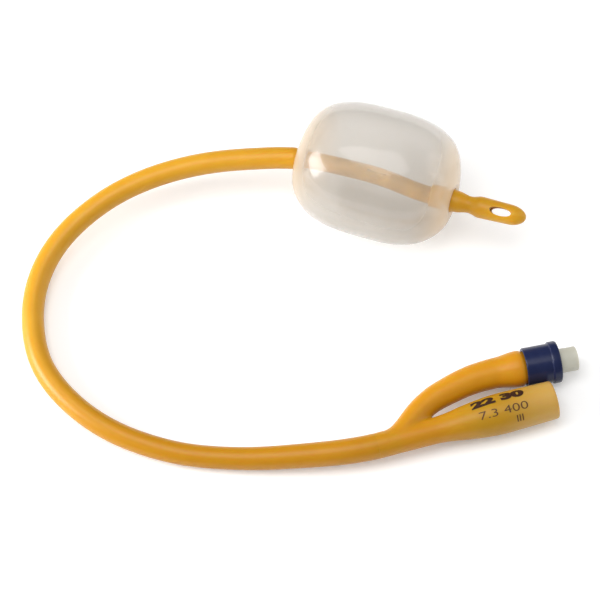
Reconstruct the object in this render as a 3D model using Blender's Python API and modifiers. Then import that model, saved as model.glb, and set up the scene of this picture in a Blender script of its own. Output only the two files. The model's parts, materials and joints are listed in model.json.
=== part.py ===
"""Foley urinary catheter, two-way, 22 French, lying on a table with its balloon inflated.

Metres, +Z up. The origin is on the table under the middle of the resting object.
+X runs about along the drainage funnel towards its mouth.
"""
import math

import bmesh
import bpy
import numpy as np
from mathutils import Matrix, Vector

# Gaps: between pieces that are bonded or touch, and round a piece that slides
FIT = 0.0003
RUNNING = 0.0004
CUT_OVERRUN = 0.001         # how far a cutter runs past the face that it opens

# Shaft: 22 French, at a third of a millimetre each, is 7.33 mm across
SHAFT_D = 0.00733
SHAFT_R = SHAFT_D / 2
SEAT_STEP = 0.00077         # the stretch that the balloon sits on is thinner by this
SEAT_R = SHAFT_R - SEAT_STEP
SEAT_SLOPE = 0.0012         # over which the shaft narrows to the seat
ROOT_BUILD_UP = 0.00053     # the dipped build-up where the shaft meets the funnel
ROOT_R = SHAFT_R + ROOT_BUILD_UP
BUILD_UP_LENGTH = 0.055     # over which the shaft thickens towards the funnel
SPIGOT_STEP = 0.00017       # the end that is bonded into the funnel is thinner by this
SPIGOT_R = SHAFT_R - SPIGOT_STEP
SPIGOT_LENGTH = 0.0070
SHAFT_STEP = 0.0125         # distance between the rings of the tube
ROUTE_GRAIN = 0.0010        # distance between the points read from the smooth route

# Two lumens one above the other in the shaft, with the walls round them at the seat
FILL_LUMEN_R = 0.00045
LUMEN_ROOF = 0.00040
LUMEN_SEPTUM = 0.00035
LUMEN_FLOOR = 0.00055
FILL_LUMEN_RISE = SEAT_R - LUMEN_ROOF - FILL_LUMEN_R
DRAIN_LUMEN_R = (2 * (SEAT_R - FILL_LUMEN_R) - LUMEN_ROOF - LUMEN_SEPTUM - LUMEN_FLOOR) / 2
DRAIN_LUMEN_DROP = SEAT_R - LUMEN_FLOOR - DRAIN_LUMEN_R

# Skived hole in the seat that lets the filling out of the small lumen
SKIVE_CUTTER_R = 0.0080
SKIVE_BITE = 0.0003         # how far it cuts past the small lumen's middle
SKIVE_DEPTH = LUMEN_ROOF + FILL_LUMEN_R + SKIVE_BITE
FILL_LUMEN_END = 0.005      # the small lumen is plugged this far past the hole

# The junction where the shaft enters the funnel moulding
JUNCTION = Vector((0.0147, -0.0549, 0.0067))

# Centreline of the shaft after the junction, chosen by hand, ending at the balloon
SHAFT_ROUTE = [
    (0.0010, -0.0535, 0.0062),
    (-0.0110, -0.0510, 0.0053),
    (-0.0226, -0.0482, 0.0044),
    (-0.0341, -0.0446, 0.0038),
    (-0.0452, -0.0402, 0.0037),
    (-0.0556, -0.0342, 0.0037),
    (-0.0650, -0.0268, 0.0037),
    (-0.0729, -0.0178, 0.0037),
    (-0.0789, -0.0075, 0.0037),
    (-0.0824, 0.0039, 0.0037),
    (-0.0823, 0.0159, 0.0038),
    (-0.0794, 0.0275, 0.0043),
    (-0.0736, 0.0379, 0.0053),
    (-0.0653, 0.0462, 0.0067),
    (-0.0551, 0.0522, 0.0084),
    (-0.0439, 0.0561, 0.0102),
    (-0.0322, 0.0577, 0.0122),
    (-0.0204, 0.0575, 0.0141),
    (-0.0087, 0.0558, 0.0158),
    (0.0029, 0.0529, 0.0172),
]

# Balloon: where the shaft enters and leaves it, and its own form
BALLOON_ENTRY = Vector((0.0168, 0.0484, 0.0184))
BALLOON_EXIT = Vector((0.0612, 0.0175, 0.0218))
BALLOON_HALF_LENGTH = (BALLOON_EXIT - BALLOON_ENTRY).length / 2
BALLOON_R = 0.0220
BALLOON_FULLNESS = 2.9      # superellipse power: 2 is an ellipse, more is squarer
BALLOON_WALL = 0.00045
BALLOON_LEAN = 0.0015       # the bulge is off the shaft's axis, sideways
BALLOON_PRESS = 0.0001      # how far the table flattens its underside
BALLOON_RISE = BALLOON_R - BALLOON_PRESS - (BALLOON_ENTRY.z + BALLOON_EXIT.z) / 2
LEAN_WHOLE_AT = 0.8         # share of the radius past which the bulge leans as a whole
CUFF_LENGTH = 0.0030
ENTRY_CUFF_SLACK = 0.0005   # extra room where the shaft still bends

# Centreline of the seat between the balloon's cuffs, chosen by hand
SEAT_ROUTE = [
    (0.0284, 0.0418, 0.0193),
    (0.0425, 0.0320, 0.0203),
]

# Tip, along its own axis from the balloon's exit
TIP_HEADING = math.radians(-33.2)
TIP_PITCH = math.radians(3.6)
TIP_CUFF_WALL = 0.00065
TIP_CUFF_R = SEAT_R + FIT + TIP_CUFF_WALL
TIP_CUFF_LENGTH = 0.0080
TIP_CUFF_BEVEL = 0.0015
TIP_STEP = 0.0010           # half the slope between the cuff and the shoulder
TIP_SHOULDER_STEP = 0.00009
TIP_SHOULDER_R = SHAFT_R - TIP_SHOULDER_STEP
TIP_NECK_R = 0.00280
TIP_NECK_AT = 0.0054
TIP_HEAD_STEP = 0.00007
TIP_HEAD_R = SHAFT_R - TIP_HEAD_STEP
TIP_HEAD_AT = 0.0092
TIP_NOSE_STEP = 0.00025
TIP_NOSE_R = TIP_HEAD_R - TIP_NOSE_STEP
TIP_NOSE_AT = 0.0190
TIP_LENGTH = 0.0246
TIP_SOCKET_DEPTH = 0.0070
EYE_AT = 0.0162
EYE_LENGTH = 0.0072
EYE_WIDTH = 0.0027
EYE_TURN = math.radians(27)    # the eyes' axis leans from upright, round the tip

# Funnel, as radius at each distance from the junction, up to its widest place
FUNNEL_LENGTH = 0.0598
FUNNEL_YAW = math.radians(0.9)
FUNNEL_STATIONS = [
    (0.0, ROOT_R),
    (0.0200, 0.00430),
    (0.0245, 0.00475),
    (0.0290, 0.00550),
    (0.0335, 0.00610),
    (0.0380, 0.00655),
    (0.0425, 0.00670),
]
MOUTH_R = 0.00625
MOUTH_ROUND = 0.00055
MOUTH_WALL = 0.00130
MOUTH_BORE_LENGTH = 0.0060
BORE_RISE_LENGTH = 0.0120   # over which the bore rises from the shaft's lumen to the axis
BORE_THROAT_AT = 0.0353     # where the bore has widened to the throat's radius
BORE_THROAT_R = 0.00400

# Inflation arm: centreline relative to the junction with the arm's radius there
ARM_ROUTE = [
    (0.0030, 0.0000, 0.0000, 0.00400),
    (0.0084, 0.0018, 0.0000, 0.00410),
    (0.0129, 0.0053, 0.0000, 0.00415),
    (0.0197, 0.0101, 0.0001, 0.00420),
    (0.0283, 0.0131, 0.0001, 0.00455),
    (0.0362, 0.0147, 0.0002, 0.00480),
]
ARM_GRAIN = 0.0035          # distance between the arm's rings
ARM_NECK_R = 0.00500
ARM_STRAIGHT = 0.0100       # straight length before the collar
ARM_SWELL_AT = 0.0055       # how far before the collar the arm has swollen over the tail
ARM_SHOULDER_AT = 0.0020    # how far before the collar the arm's shoulder is
ARM_SHOULDER_PROUD = 0.00060
ARM_SHOULDER_ROUND = 0.00012
ARM_WALL = 0.0010
ARM_CHANNEL_R = 0.00090
CHANNEL_LEAD = 0.0032       # straight run of the channel after the shaft's small lumen
CHANNEL_CROSSING = Vector((0.0124, 0.0046, 0.0012))
CHANNEL_CROSSING_R = 0.00070

# Valve, along its own axis from the collar's inner end, from the chamber outwards
VALVE_OFFSET = Vector((0.0537, 0.0147, 0.0002))
VALVE_YAW = math.radians(-3.5)
EDGE = 0.0002               # chamfer on the small plastic pieces
CHAMBER_R = 0.00245
SKIRT_WALL = 0.00065
SKIRT_LENGTH = 0.0024
TAIL_CUP_WALL = 0.0005
TAIL_CUP_FLOOR = 0.0009
COLLAR_LENGTH = 0.0115
COLLAR_WALL = 0.0009
COLLAR_END_WALL = 0.0023
COLLAR_ROUND = 0.00045
COLLAR_RIM_PROUD = 0.0005
COLLAR_RIM_LENGTH = 0.0028
COLLAR_RIM_CHAMFER = 0.0003
LUER_R = 0.0040
LUER_REACH = 0.0061
LUER_BORE_R = 0.00213
LUER_DEPTH = 0.0075
LUER_TAPER = 0.06
FLANGE_THICKNESS = 0.0010
THROAT_R = 0.00125
THROAT_LENGTH = 0.0010
TAIL_BARBS = 3
TAIL_BARB_HEIGHT = 0.0004
TAIL_BARB_SLOPE = 0.73      # share of a barb's pitch that its long slope takes
TAIL_REACH = 0.0070
TAIL_BORE_R = 0.0022
LEDGE_AT = -0.0007
LEDGE_THICKNESS = 0.0015
LEDGE_HOLE_R = 0.0012

# Stem, seal and spring
PIN_R = THROAT_R - RUNNING
PIN_RISE = 0.0031           # how far the pin stands above the throat
SEAL_R = CHAMBER_R - RUNNING
SEAL_THICKNESS = 0.0010
HEAD_R = SEAL_R - 0.00015
HEAD_THICKNESS = 0.0011
GUIDE_R = 0.0011
GUIDE_LENGTH = 0.0030
SPRING_WIRE_R = 0.00020
SPRING_TURNS = 5.5
SPRING_CLOSED_TURNS = 0.75  # wound close at each end, so that the coil stands flat
SPRING_CLOSED_RISE = 2.6    # their rise, in wire radii
SPRING_POINTS_PER_TURN = 12

# Radii of the valve and the arm, each outside the one before it
SKIRT_R = CHAMBER_R + SKIRT_WALL
CUP_R = SKIRT_R + FIT
TAIL_CUP_R = CUP_R + TAIL_CUP_WALL
TAIL_R = TAIL_CUP_R - TAIL_BARB_HEIGHT
ARM_BORE_R = TAIL_CUP_R + FIT
ARM_COLLAR_R = ARM_BORE_R + ARM_WALL
COLLAR_BORE_R = ARM_COLLAR_R + FIT
COLLAR_R = COLLAR_BORE_R + COLLAR_WALL
COLLAR_RIM_R = COLLAR_R + COLLAR_RIM_PROUD
FLANGE_R = ARM_COLLAR_R

# Heights in the valve, each below the one before it
LUER_TOP = COLLAR_LENGTH + LUER_REACH
THROAT_TOP = LUER_TOP - LUER_DEPTH
VALVE_SEAT = THROAT_TOP - THROAT_LENGTH
SEAL_TOP = VALVE_SEAT - FIT
HEAD_TOP = SEAL_TOP - SEAL_THICKNESS - FIT
HEAD_FOOT = HEAD_TOP - HEAD_THICKNESS
COLLAR_SHELF = COLLAR_LENGTH - COLLAR_END_WALL
BODY_FLANGE_TOP = COLLAR_SHELF - FIT
BODY_FLANGE_FOOT = BODY_FLANGE_TOP - FLANGE_THICKNESS
SKIRT_FOOT = BODY_FLANGE_FOOT - SKIRT_LENGTH
TAIL_FLANGE_TOP = BODY_FLANGE_FOOT - FIT
TAIL_FLANGE_FOOT = TAIL_FLANGE_TOP - FLANGE_THICKNESS
ARM_TOP = TAIL_FLANGE_FOOT - FIT


def clear_scene():
    for thing in list(bpy.data.objects):
        bpy.data.objects.remove(thing, do_unlink=True)


def collection(name):
    group = bpy.data.collections.new(name)
    bpy.context.scene.collection.children.link(group)
    return group


def material(name, colour, roughness, alpha=1.0, metallic=0.0):
    made = bpy.data.materials.new(name)
    made.use_nodes = True
    shader = made.node_tree.nodes["Principled BSDF"]
    shader.inputs["Base Color"].default_value = (*colour, 1.0)
    shader.inputs["Roughness"].default_value = roughness
    shader.inputs["Metallic"].default_value = metallic
    shader.inputs["Alpha"].default_value = alpha
    made.diffuse_color = (*colour, alpha)
    return made


def place(thing, group, look=None, where=None):
    group.objects.link(thing)
    if where is not None:
        thing.matrix_world = where
    if look is not None:
        thing.data.materials.append(look)
    return thing


def evaluated_mesh(thing, name):
    """A welded mesh object made from the evaluated curve or modified mesh, in the same place."""
    bpy.context.view_layer.update()
    source = thing.evaluated_get(bpy.context.evaluated_depsgraph_get())
    data = bpy.data.meshes.new_from_object(source)
    cage = bmesh.new()
    cage.from_mesh(data)
    bmesh.ops.remove_doubles(cage, verts=cage.verts, dist=0.00001)
    bmesh.ops.recalc_face_normals(cage, faces=cage.faces)
    cage.to_mesh(data)
    cage.free()
    made = bpy.data.objects.new(name, data)
    for group in thing.users_collection:
        group.objects.link(made)
    made.matrix_world = thing.matrix_world.copy()
    bpy.data.objects.remove(thing, do_unlink=True)
    return made


def turned(name, profile, segments, closed=False):
    """A profile of (radius, height) turned about Z; the outer side runs from top to bottom."""
    data = bpy.data.meshes.new(name)
    points = [(radius, 0.0, height) for radius, height in profile]
    edges = [(i, i + 1) for i in range(len(points) - 1)]
    if closed:
        edges.append((len(points) - 1, 0))
    data.from_pydata(points, edges, [])
    thing = bpy.data.objects.new(name, data)
    screw = thing.modifiers.new("turn", "SCREW")
    screw.steps = segments
    screw.render_steps = segments
    screw.use_merge_vertices = True
    screw.merge_threshold = 0.00001
    screw.use_smooth_shade = True
    return thing


def tube(name, points, radii, resolution):
    """A POLY curve with a round section whose radius follows the points."""
    data = bpy.data.curves.new(name, "CURVE")
    data.dimensions = "3D"
    data.bevel_depth = 1.0
    data.bevel_resolution = resolution
    data.use_fill_caps = True
    data.resolution_u = 1
    spline = data.splines.new("POLY")
    spline.points.add(len(points) - 1)
    for knot, point, radius in zip(spline.points, points, radii):
        knot.co = (*point, 1.0)
        knot.radius = radius
    return bpy.data.objects.new(name, data)


def smooth_route(route, step):
    """Points a step apart on the natural cubic spline through the route's own points."""
    knots = np.array([tuple(point) for point in route], dtype=float)
    along = np.concatenate([[0.0], np.cumsum(np.linalg.norm(np.diff(knots, axis=0), axis=1))])
    gap = np.diff(along)
    count = len(knots)
    system = np.eye(count)
    right = np.zeros_like(knots)
    for i in range(1, count - 1):
        system[i, i - 1] = gap[i - 1]
        system[i, i] = 2 * (gap[i - 1] + gap[i])
        system[i, i + 1] = gap[i]
        right[i] = 6 * ((knots[i + 1] - knots[i]) / gap[i] - (knots[i] - knots[i - 1]) / gap[i - 1])
    bend = np.linalg.solve(system, right)
    places = np.linspace(0.0, along[-1], max(2, round(along[-1] / step) + 1))
    made = []
    for where in places:
        i = min(int(np.searchsorted(along, where, side="right")) - 1, count - 2)
        a = (along[i + 1] - where) / gap[i]
        b = (where - along[i]) / gap[i]
        value = a * knots[i] + b * knots[i + 1]
        value = value + ((a ** 3 - a) * bend[i] + (b ** 3 - b) * bend[i + 1]) * gap[i] ** 2 / 6
        made.append(Vector(value))
    return made


def distances(points):
    """Length along the points up to each of them."""
    total = [0.0]
    for here, there in zip(points, points[1:]):
        total.append(total[-1] + (there - here).length)
    return total


def shifted(points, rise):
    """The same route, moved across its own run and upwards by rise."""
    made = []
    last = len(points) - 1
    for i, point in enumerate(points):
        run = (points[min(i + 1, last)] - points[max(i - 1, 0)]).normalized()
        upright = (Vector((0, 0, 1)) - run * run.z).normalized()
        made.append(point + upright * rise)
    return made


def boolean(thing, tool, operation="DIFFERENCE"):
    cut = thing.modifiers.new(tool.name, "BOOLEAN")
    cut.operation = operation
    cut.object = tool
    cut.solver = "EXACT"
    tool.hide_render = True
    tool.display_type = "WIRE"


def smooth(thing, degrees=40):
    thing.data.shade_smooth()
    thing.data.set_sharp_from_angle(angle=math.radians(degrees))


def along_axis(origin, direction):
    """A frame at origin whose +Z is the direction and whose +Y leans upwards."""
    axis_z = direction.normalized()
    axis_x = Vector((0, 0, 1)).cross(axis_z)
    if axis_x.length < 1e-6:
        axis_x = Vector((1, 0, 0))
    axis_x.normalize()
    axis_y = axis_z.cross(axis_x)
    frame = Matrix((axis_x, axis_y, axis_z)).transposed().to_4x4()
    frame.translation = origin
    return frame


def arc(centre, radius, start, end, steps):
    """Points of an arc in (radius, height), angles in degrees from +radius towards +height."""
    made = []
    for i in range(steps + 1):
        angle = math.radians(start + (end - start) * i / steps)
        made.append((centre[0] + radius * math.cos(angle), centre[1] + radius * math.sin(angle)))
    return made


def shaft_points():
    """Centreline from the spigot's end in the funnel, round to the end in the tip's socket."""
    tip_run = tip_direction()
    route = [JUNCTION + funnel_direction() * SPIGOT_LENGTH, JUNCTION]
    route += [Vector(point) for point in SHAFT_ROUTE]
    route += [BALLOON_ENTRY]
    route += [Vector(point) for point in SEAT_ROUTE]
    route += [BALLOON_EXIT - tip_run * (TIP_CUFF_LENGTH + 2 * CUT_OVERRUN)]
    route += [BALLOON_EXIT - tip_run * (TIP_CUFF_LENGTH - TIP_SOCKET_DEPTH + FIT)]
    return route


def funnel_direction():
    return Vector((math.cos(FUNNEL_YAW), math.sin(FUNNEL_YAW), 0))


def tip_direction():
    flat = math.cos(TIP_PITCH)
    return Vector((math.cos(TIP_HEADING) * flat, math.sin(TIP_HEADING) * flat, math.sin(TIP_PITCH)))


def spread(start, end, step):
    """Even distances from start to end, both kept, about a step apart."""
    count = max(1, round((end - start) / step))
    return [start + (end - start) * i / count for i in range(count + 1)]


def ease(value):
    value = min(1.0, max(0.0, value))
    return value * value * (3 - 2 * value)


def blend(start, end, steps):
    """Points of (radius, height) from start to end, level at both ends."""
    made = []
    for i in range(steps + 1):
        share = i / steps
        radius = start[0] + (end[0] - start[0]) * ease(share)
        made.append((radius, start[1] + (end[1] - start[1]) * share))
    return made


def make_shaft(parts, cutters):
    look = material("amber_latex_tube", (0.66, 0.35, 0.03), 0.35)
    points = smooth_route(shaft_points(), ROUTE_GRAIN)
    along = distances(points)
    entry = min(range(len(points)), key=lambda i: (points[i] - BALLOON_ENTRY).length)
    seat_at = along[entry]
    seat_foot = seat_at - FIT
    shoulder = seat_foot - SEAT_SLOPE
    # The tube's own rings, with a step in radius at the spigot and at the seat
    root = SPIGOT_LENGTH + 1.5 * FIT
    stations = [0.0, root - FIT, root]
    stations += spread(root + SHAFT_STEP / 3, shoulder, SHAFT_STEP)
    stations += spread(seat_foot, along[-1], SHAFT_STEP)
    places = [at_distance(points, along, where) for where in stations]
    radii = []
    for where in stations:
        if where < root - FIT / 2:
            radii.append(SPIGOT_R)
        elif where < shoulder + SEAT_SLOPE / 2:
            built = 1 - ease((where - root) / BUILD_UP_LENGTH)
            radii.append(SHAFT_R + ROOT_BUILD_UP * built)
        else:
            radii.append(SEAT_R)
    shaft = tube("shaft_curve", places, radii, 4)
    place(shaft, parts)
    shaft = evaluated_mesh(shaft, "shaft")
    shaft.data.materials.clear()
    shaft.data.materials.append(look)

    # Drainage lumen, right through
    ends = [places[0] + (places[0] - places[1]).normalized() * CUT_OVERRUN]
    ends += places[1:-1]
    ends += [places[-1] + (places[-1] - places[-2]).normalized() * CUT_OVERRUN]
    drain = tube("drain_lumen", shifted(ends, -DRAIN_LUMEN_DROP), [DRAIN_LUMEN_R] * len(ends), 3)
    place(drain, cutters)
    boolean(shaft, evaluated_mesh(drain, "drain_lumen_cutter"))

    # Filling lumen, from the funnel to just past the skived hole
    skive_at = seat_at + BALLOON_HALF_LENGTH
    fill_end = skive_at + FILL_LUMEN_END
    run = [ends[0]]
    run += [place for place, where in zip(places[1:], stations[1:]) if where < fill_end - SEAT_SLOPE]
    run.append(at_distance(points, along, fill_end))
    fill = tube("fill_lumen", shifted(run, FILL_LUMEN_RISE), [FILL_LUMEN_R] * len(run), 2)
    place(fill, cutters)
    boolean(shaft, evaluated_mesh(fill, "fill_lumen_cutter"))

    # Skived hole: a round cutter lying across the top of the seat
    here = at_distance(points, along, skive_at)
    run_way = (at_distance(points, along, skive_at + ROUTE_GRAIN) - here).normalized()
    frame = along_axis(here, run_way)
    across = frame.to_3x3().col[0]
    up = frame.to_3x3().col[1]
    centre = here + up * (SEAT_R - SKIVE_DEPTH + SKIVE_CUTTER_R)
    bpy.ops.mesh.primitive_cylinder_add(vertices=48, radius=SKIVE_CUTTER_R, depth=SEAT_R * 4)
    skive = adopt("skive_cutter", cutters)
    skive.matrix_world = along_axis(centre, across)
    boolean(shaft, skive)
    smooth(shaft)


def at_distance(points, along, where):
    i = min(max(int(np.searchsorted(along, where, side="right")) - 1, 0), len(points) - 2)
    share = (where - along[i]) / (along[i + 1] - along[i])
    return points[i].lerp(points[i + 1], share)


def adopt(name, group):
    """The object a primitive operator has just made, moved to its collection."""
    thing = bpy.context.active_object
    thing.name = name
    for other in list(thing.users_collection):
        other.objects.unlink(thing)
    group.objects.link(thing)
    return thing


def make_tip(parts, cutters):
    look = material("amber_latex_moulding", (0.66, 0.36, 0.04), 0.32)
    nose_depth = TIP_LENGTH - TIP_NOSE_AT
    profile = [(0.0, TIP_LENGTH)]
    for i in range(1, 7):
        angle = math.radians(15 * i)
        profile.append((TIP_NOSE_R * math.sin(angle), TIP_NOSE_AT + nose_depth * math.cos(angle)))
    profile += blend((TIP_HEAD_R, TIP_HEAD_AT), (TIP_NECK_R, TIP_NECK_AT), 4)
    profile += blend((TIP_NECK_R, TIP_NECK_AT), (TIP_SHOULDER_R, TIP_STEP), 4)[1:]
    profile += [
        (TIP_CUFF_R, -TIP_STEP),
        (TIP_CUFF_R, -TIP_CUFF_LENGTH + TIP_CUFF_BEVEL),
        (TIP_CUFF_R - TIP_CUFF_WALL / 2, -TIP_CUFF_LENGTH),
        (0.0, -TIP_CUFF_LENGTH),
    ]
    tip = turned("tip", profile, 24)
    frame = along_axis(BALLOON_EXIT, tip_direction())
    place(tip, parts, look, frame)

    socket_r = SEAT_R + FIT
    socket_end = -TIP_CUFF_LENGTH + TIP_SOCKET_DEPTH
    lumen_end = EYE_AT + EYE_LENGTH / 2 - DRAIN_LUMEN_R
    bore = [(0.0, lumen_end + DRAIN_LUMEN_R)]
    bore += arc((0.0, lumen_end), DRAIN_LUMEN_R, 60, 0, 2)
    bore += [
        (DRAIN_LUMEN_R, socket_end),
        (socket_r, socket_end),
        (socket_r, -TIP_CUFF_LENGTH - CUT_OVERRUN),
        (0.0, -TIP_CUFF_LENGTH - CUT_OVERRUN),
    ]
    hollow = turned("tip_bore_cutter", bore, 20)
    place(hollow, cutters, None, frame)
    boolean(tip, hollow)

    # Two opposing eyes, one cutter right through
    bpy.ops.mesh.primitive_cylinder_add(vertices=28, radius=0.5, depth=TIP_HEAD_R * 4)
    eyes = adopt("eye_cutter", cutters)
    eyes.data.transform(Matrix.Diagonal((EYE_WIDTH, EYE_LENGTH, 1.0, 1.0)))
    lean = Matrix.Rotation(EYE_TURN, 4, "Z")
    lay_flat = Matrix.Rotation(math.radians(90), 4, "X")
    eyes.matrix_world = frame @ Matrix.Translation((0, 0, EYE_AT)) @ lean @ lay_flat
    boolean(tip, eyes)
    smooth(tip)


def superellipse(half_length, radius, steps):
    """Outer profile from the top pole to the bottom pole, poles left out."""
    power = 2 / BALLOON_FULLNESS
    made = []
    for i in range(1, steps):
        angle = math.pi * i / steps
        height = half_length * math.copysign(abs(math.cos(angle)) ** power, math.cos(angle))
        made.append((radius * math.sin(angle) ** power, height))
    return made


def make_balloon(parts):
    look = material("clear_balloon_latex", (0.80, 0.78, 0.74), 0.15, alpha=0.45)
    steps = 20
    half = BALLOON_HALF_LENGTH
    entry_r = SEAT_R + FIT + ENTRY_CUFF_SLACK
    exit_r = TIP_CUFF_R + FIT
    outer = superellipse(half, BALLOON_R, steps)
    inner = superellipse(half - BALLOON_WALL, BALLOON_R - BALLOON_WALL, steps)
    outer = [point for point in outer if point[0] > exit_r + 2 * BALLOON_WALL]
    inner = [point for point in inner if point[0] > exit_r + 3 * BALLOON_WALL]
    inner_half = half - BALLOON_WALL
    profile = [(exit_r, half)] + outer
    profile += [
        (entry_r, -half),
        (entry_r, -half + CUFF_LENGTH),
        (entry_r + BALLOON_WALL, -half + CUFF_LENGTH),
        (entry_r + BALLOON_WALL, -inner_half),
    ]
    profile += list(reversed(inner))
    profile += [
        (exit_r + BALLOON_WALL, inner_half),
        (exit_r + BALLOON_WALL, half - CUFF_LENGTH),
        (exit_r, half - CUFF_LENGTH),
    ]
    balloon = turned("balloon_turned", profile, 28, closed=True)
    axis = BALLOON_EXIT - BALLOON_ENTRY
    frame = along_axis((BALLOON_ENTRY + BALLOON_EXIT) / 2, axis)
    place(balloon, parts, look, frame)
    balloon = evaluated_mesh(balloon, "balloon")

    # The bulge leans off the shaft's axis, and lies flat where it meets the table
    shape = bmesh.new()
    shape.from_mesh(balloon.data)
    side = frame.inverted().to_3x3() @ Vector((-math.sin(TIP_HEADING), math.cos(TIP_HEADING), 0))
    lean = side * BALLOON_LEAN + Vector((0, BALLOON_RISE, 0))
    back = frame.inverted()
    for vert in shape.verts:
        radius = math.hypot(vert.co.x, vert.co.y)
        vert.co += lean * ease((radius - exit_r) / (BALLOON_R * LEAN_WHOLE_AT - exit_r))
        full = max(0.0, 1 - abs(vert.co.z / half) ** BALLOON_FULLNESS)
        is_inner = radius < BALLOON_R * full ** (1 / BALLOON_FULLNESS) - BALLOON_WALL / 2
        lowest = BALLOON_WALL if is_inner else 0.0
        world = frame @ vert.co
        if world.z < lowest:
            world.z = lowest
            vert.co = back @ world
    shape.to_mesh(balloon.data)
    shape.free()
    smooth(balloon, 60)


def make_funnel(parts, cutters):
    look = material("amber_latex_funnel", (0.58, 0.34, 0.06), 0.38)
    run = funnel_direction()
    frame = along_axis(JUNCTION, run)

    lip = arc((MOUTH_R - MOUTH_ROUND, FUNNEL_LENGTH - MOUTH_ROUND), MOUTH_ROUND, 90, 0, 3)
    profile = [(0.0, FUNNEL_LENGTH)] + lip
    profile += [(radius, where) for where, radius in reversed(FUNNEL_STATIONS)]
    profile.append((0.0, 0.0))
    funnel = turned("y_funnel", profile, 28)
    place(funnel, parts, look, frame)

    # The inflation arm, straight along the valve's axis at its end
    arm_points, arm_radii = arm_route()
    arm = tube("arm_curve", arm_points, arm_radii, 4)
    place(arm, cutters)
    boolean(funnel, evaluated_mesh(arm, "arm_solid"), "UNION")

    # Socket for the shaft, and the bore that rises from its lumen to the funnel's axis
    socket_end = SPIGOT_LENGTH + FIT
    axis_at = socket_end + BORE_RISE_LENGTH
    low = JUNCTION + run * SPIGOT_LENGTH + Vector((0, 0, -DRAIN_LUMEN_DROP))
    rise = [low, low + run * 2 * FIT, JUNCTION + run * axis_at]
    rise.append(rise[-1] + run * CUT_OVERRUN)
    inner = tube("bore_rise", rise, [DRAIN_LUMEN_R] * len(rise), 4)
    place(inner, cutters)
    boolean(funnel, evaluated_mesh(inner, "bore_rise_cutter"))
    socket_r = SPIGOT_R + FIT
    socket = [(0.0, socket_end), (socket_r, socket_end), (socket_r, -CUT_OVERRUN), (0.0, -CUT_OVERRUN)]
    pocket = turned("socket_cutter", socket, 24)
    place(pocket, cutters, None, frame)
    boolean(funnel, pocket)

    # The widening bore and the mouth
    mouth_bore = MOUTH_R - MOUTH_WALL
    open_end = FUNNEL_LENGTH + CUT_OVERRUN
    bore = [
        (0.0, open_end),
        (mouth_bore, open_end),
        (mouth_bore, FUNNEL_LENGTH - MOUTH_BORE_LENGTH),
        (BORE_THROAT_R, BORE_THROAT_AT),
        (DRAIN_LUMEN_R, axis_at),
        (0.0, axis_at),
    ]
    hollow = turned("funnel_bore_cutter", bore, 24)
    place(hollow, cutters, None, frame)
    boolean(funnel, hollow)

    # Filling channel from the socket's end wall to the valve's seat in the arm
    valve = valve_frame()
    start = JUNCTION + run * SPIGOT_LENGTH + Vector((0, 0, FILL_LUMEN_RISE))
    channel = [start, start + run * CHANNEL_LEAD, JUNCTION + CHANNEL_CROSSING]
    channel += [JUNCTION + Vector(point[:3]) for point in ARM_ROUTE[3:]]
    channel.append(valve @ Vector((0, 0, -TAIL_REACH - FIT)))
    widths = [FILL_LUMEN_R, FILL_LUMEN_R, CHANNEL_CROSSING_R]
    widths += [ARM_CHANNEL_R] * (len(channel) - len(widths))
    passage = tube("arm_channel", channel, widths, 2)
    place(passage, cutters)
    boolean(funnel, evaluated_mesh(passage, "arm_channel_cutter"))

    # Pocket in the arm's end for the valve's tail
    pocket_foot = -TAIL_REACH - FIT
    pocket_nose = pocket_foot - (ARM_BORE_R - ARM_CHANNEL_R) / 2
    seat = [
        (0.0, ARM_TOP + CUT_OVERRUN),
        (ARM_BORE_R, ARM_TOP + CUT_OVERRUN),
        (ARM_BORE_R, pocket_foot),
        (CHANNEL_CROSSING_R, pocket_nose),
        (0.0, pocket_nose),
    ]
    pocket = turned("arm_seat_cutter", seat, 24)
    place(pocket, cutters, None, valve)
    boolean(funnel, pocket)
    smooth(funnel)


def arm_route():
    """Centreline and radii of the inflation arm, to its end inside the collar."""
    valve = valve_frame()
    route = [JUNCTION + Vector(point[:3]) for point in ARM_ROUTE]
    radii = [point[3] for point in ARM_ROUTE]
    shoulder_r = ARM_COLLAR_R + ARM_SHOULDER_PROUD
    straight = [
        (-ARM_SWELL_AT, ARM_COLLAR_R),
        (-ARM_SHOULDER_AT, shoulder_r),
        (-ARM_SHOULDER_AT / 2, shoulder_r - ARM_SHOULDER_ROUND),
        (-FIT, ARM_COLLAR_R),
        (ARM_TOP, ARM_COLLAR_R),
    ]
    route.append(valve @ Vector((0, 0, -ARM_STRAIGHT)))
    radii.append(ARM_NECK_R)
    points = smooth_route(route, ARM_GRAIN)
    widths = [float(np.interp(where, distances(route), radii)) for where in distances(points)]
    points += [valve @ Vector((0, 0, where)) for where, _ in straight]
    return points, widths + [radius for _, radius in straight]


def valve_frame():
    """+Z runs out of the arm through the luer's mouth."""
    heading = Vector((math.cos(VALVE_YAW), math.sin(VALVE_YAW), 0))
    return along_axis(JUNCTION + VALVE_OFFSET, heading)


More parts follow.
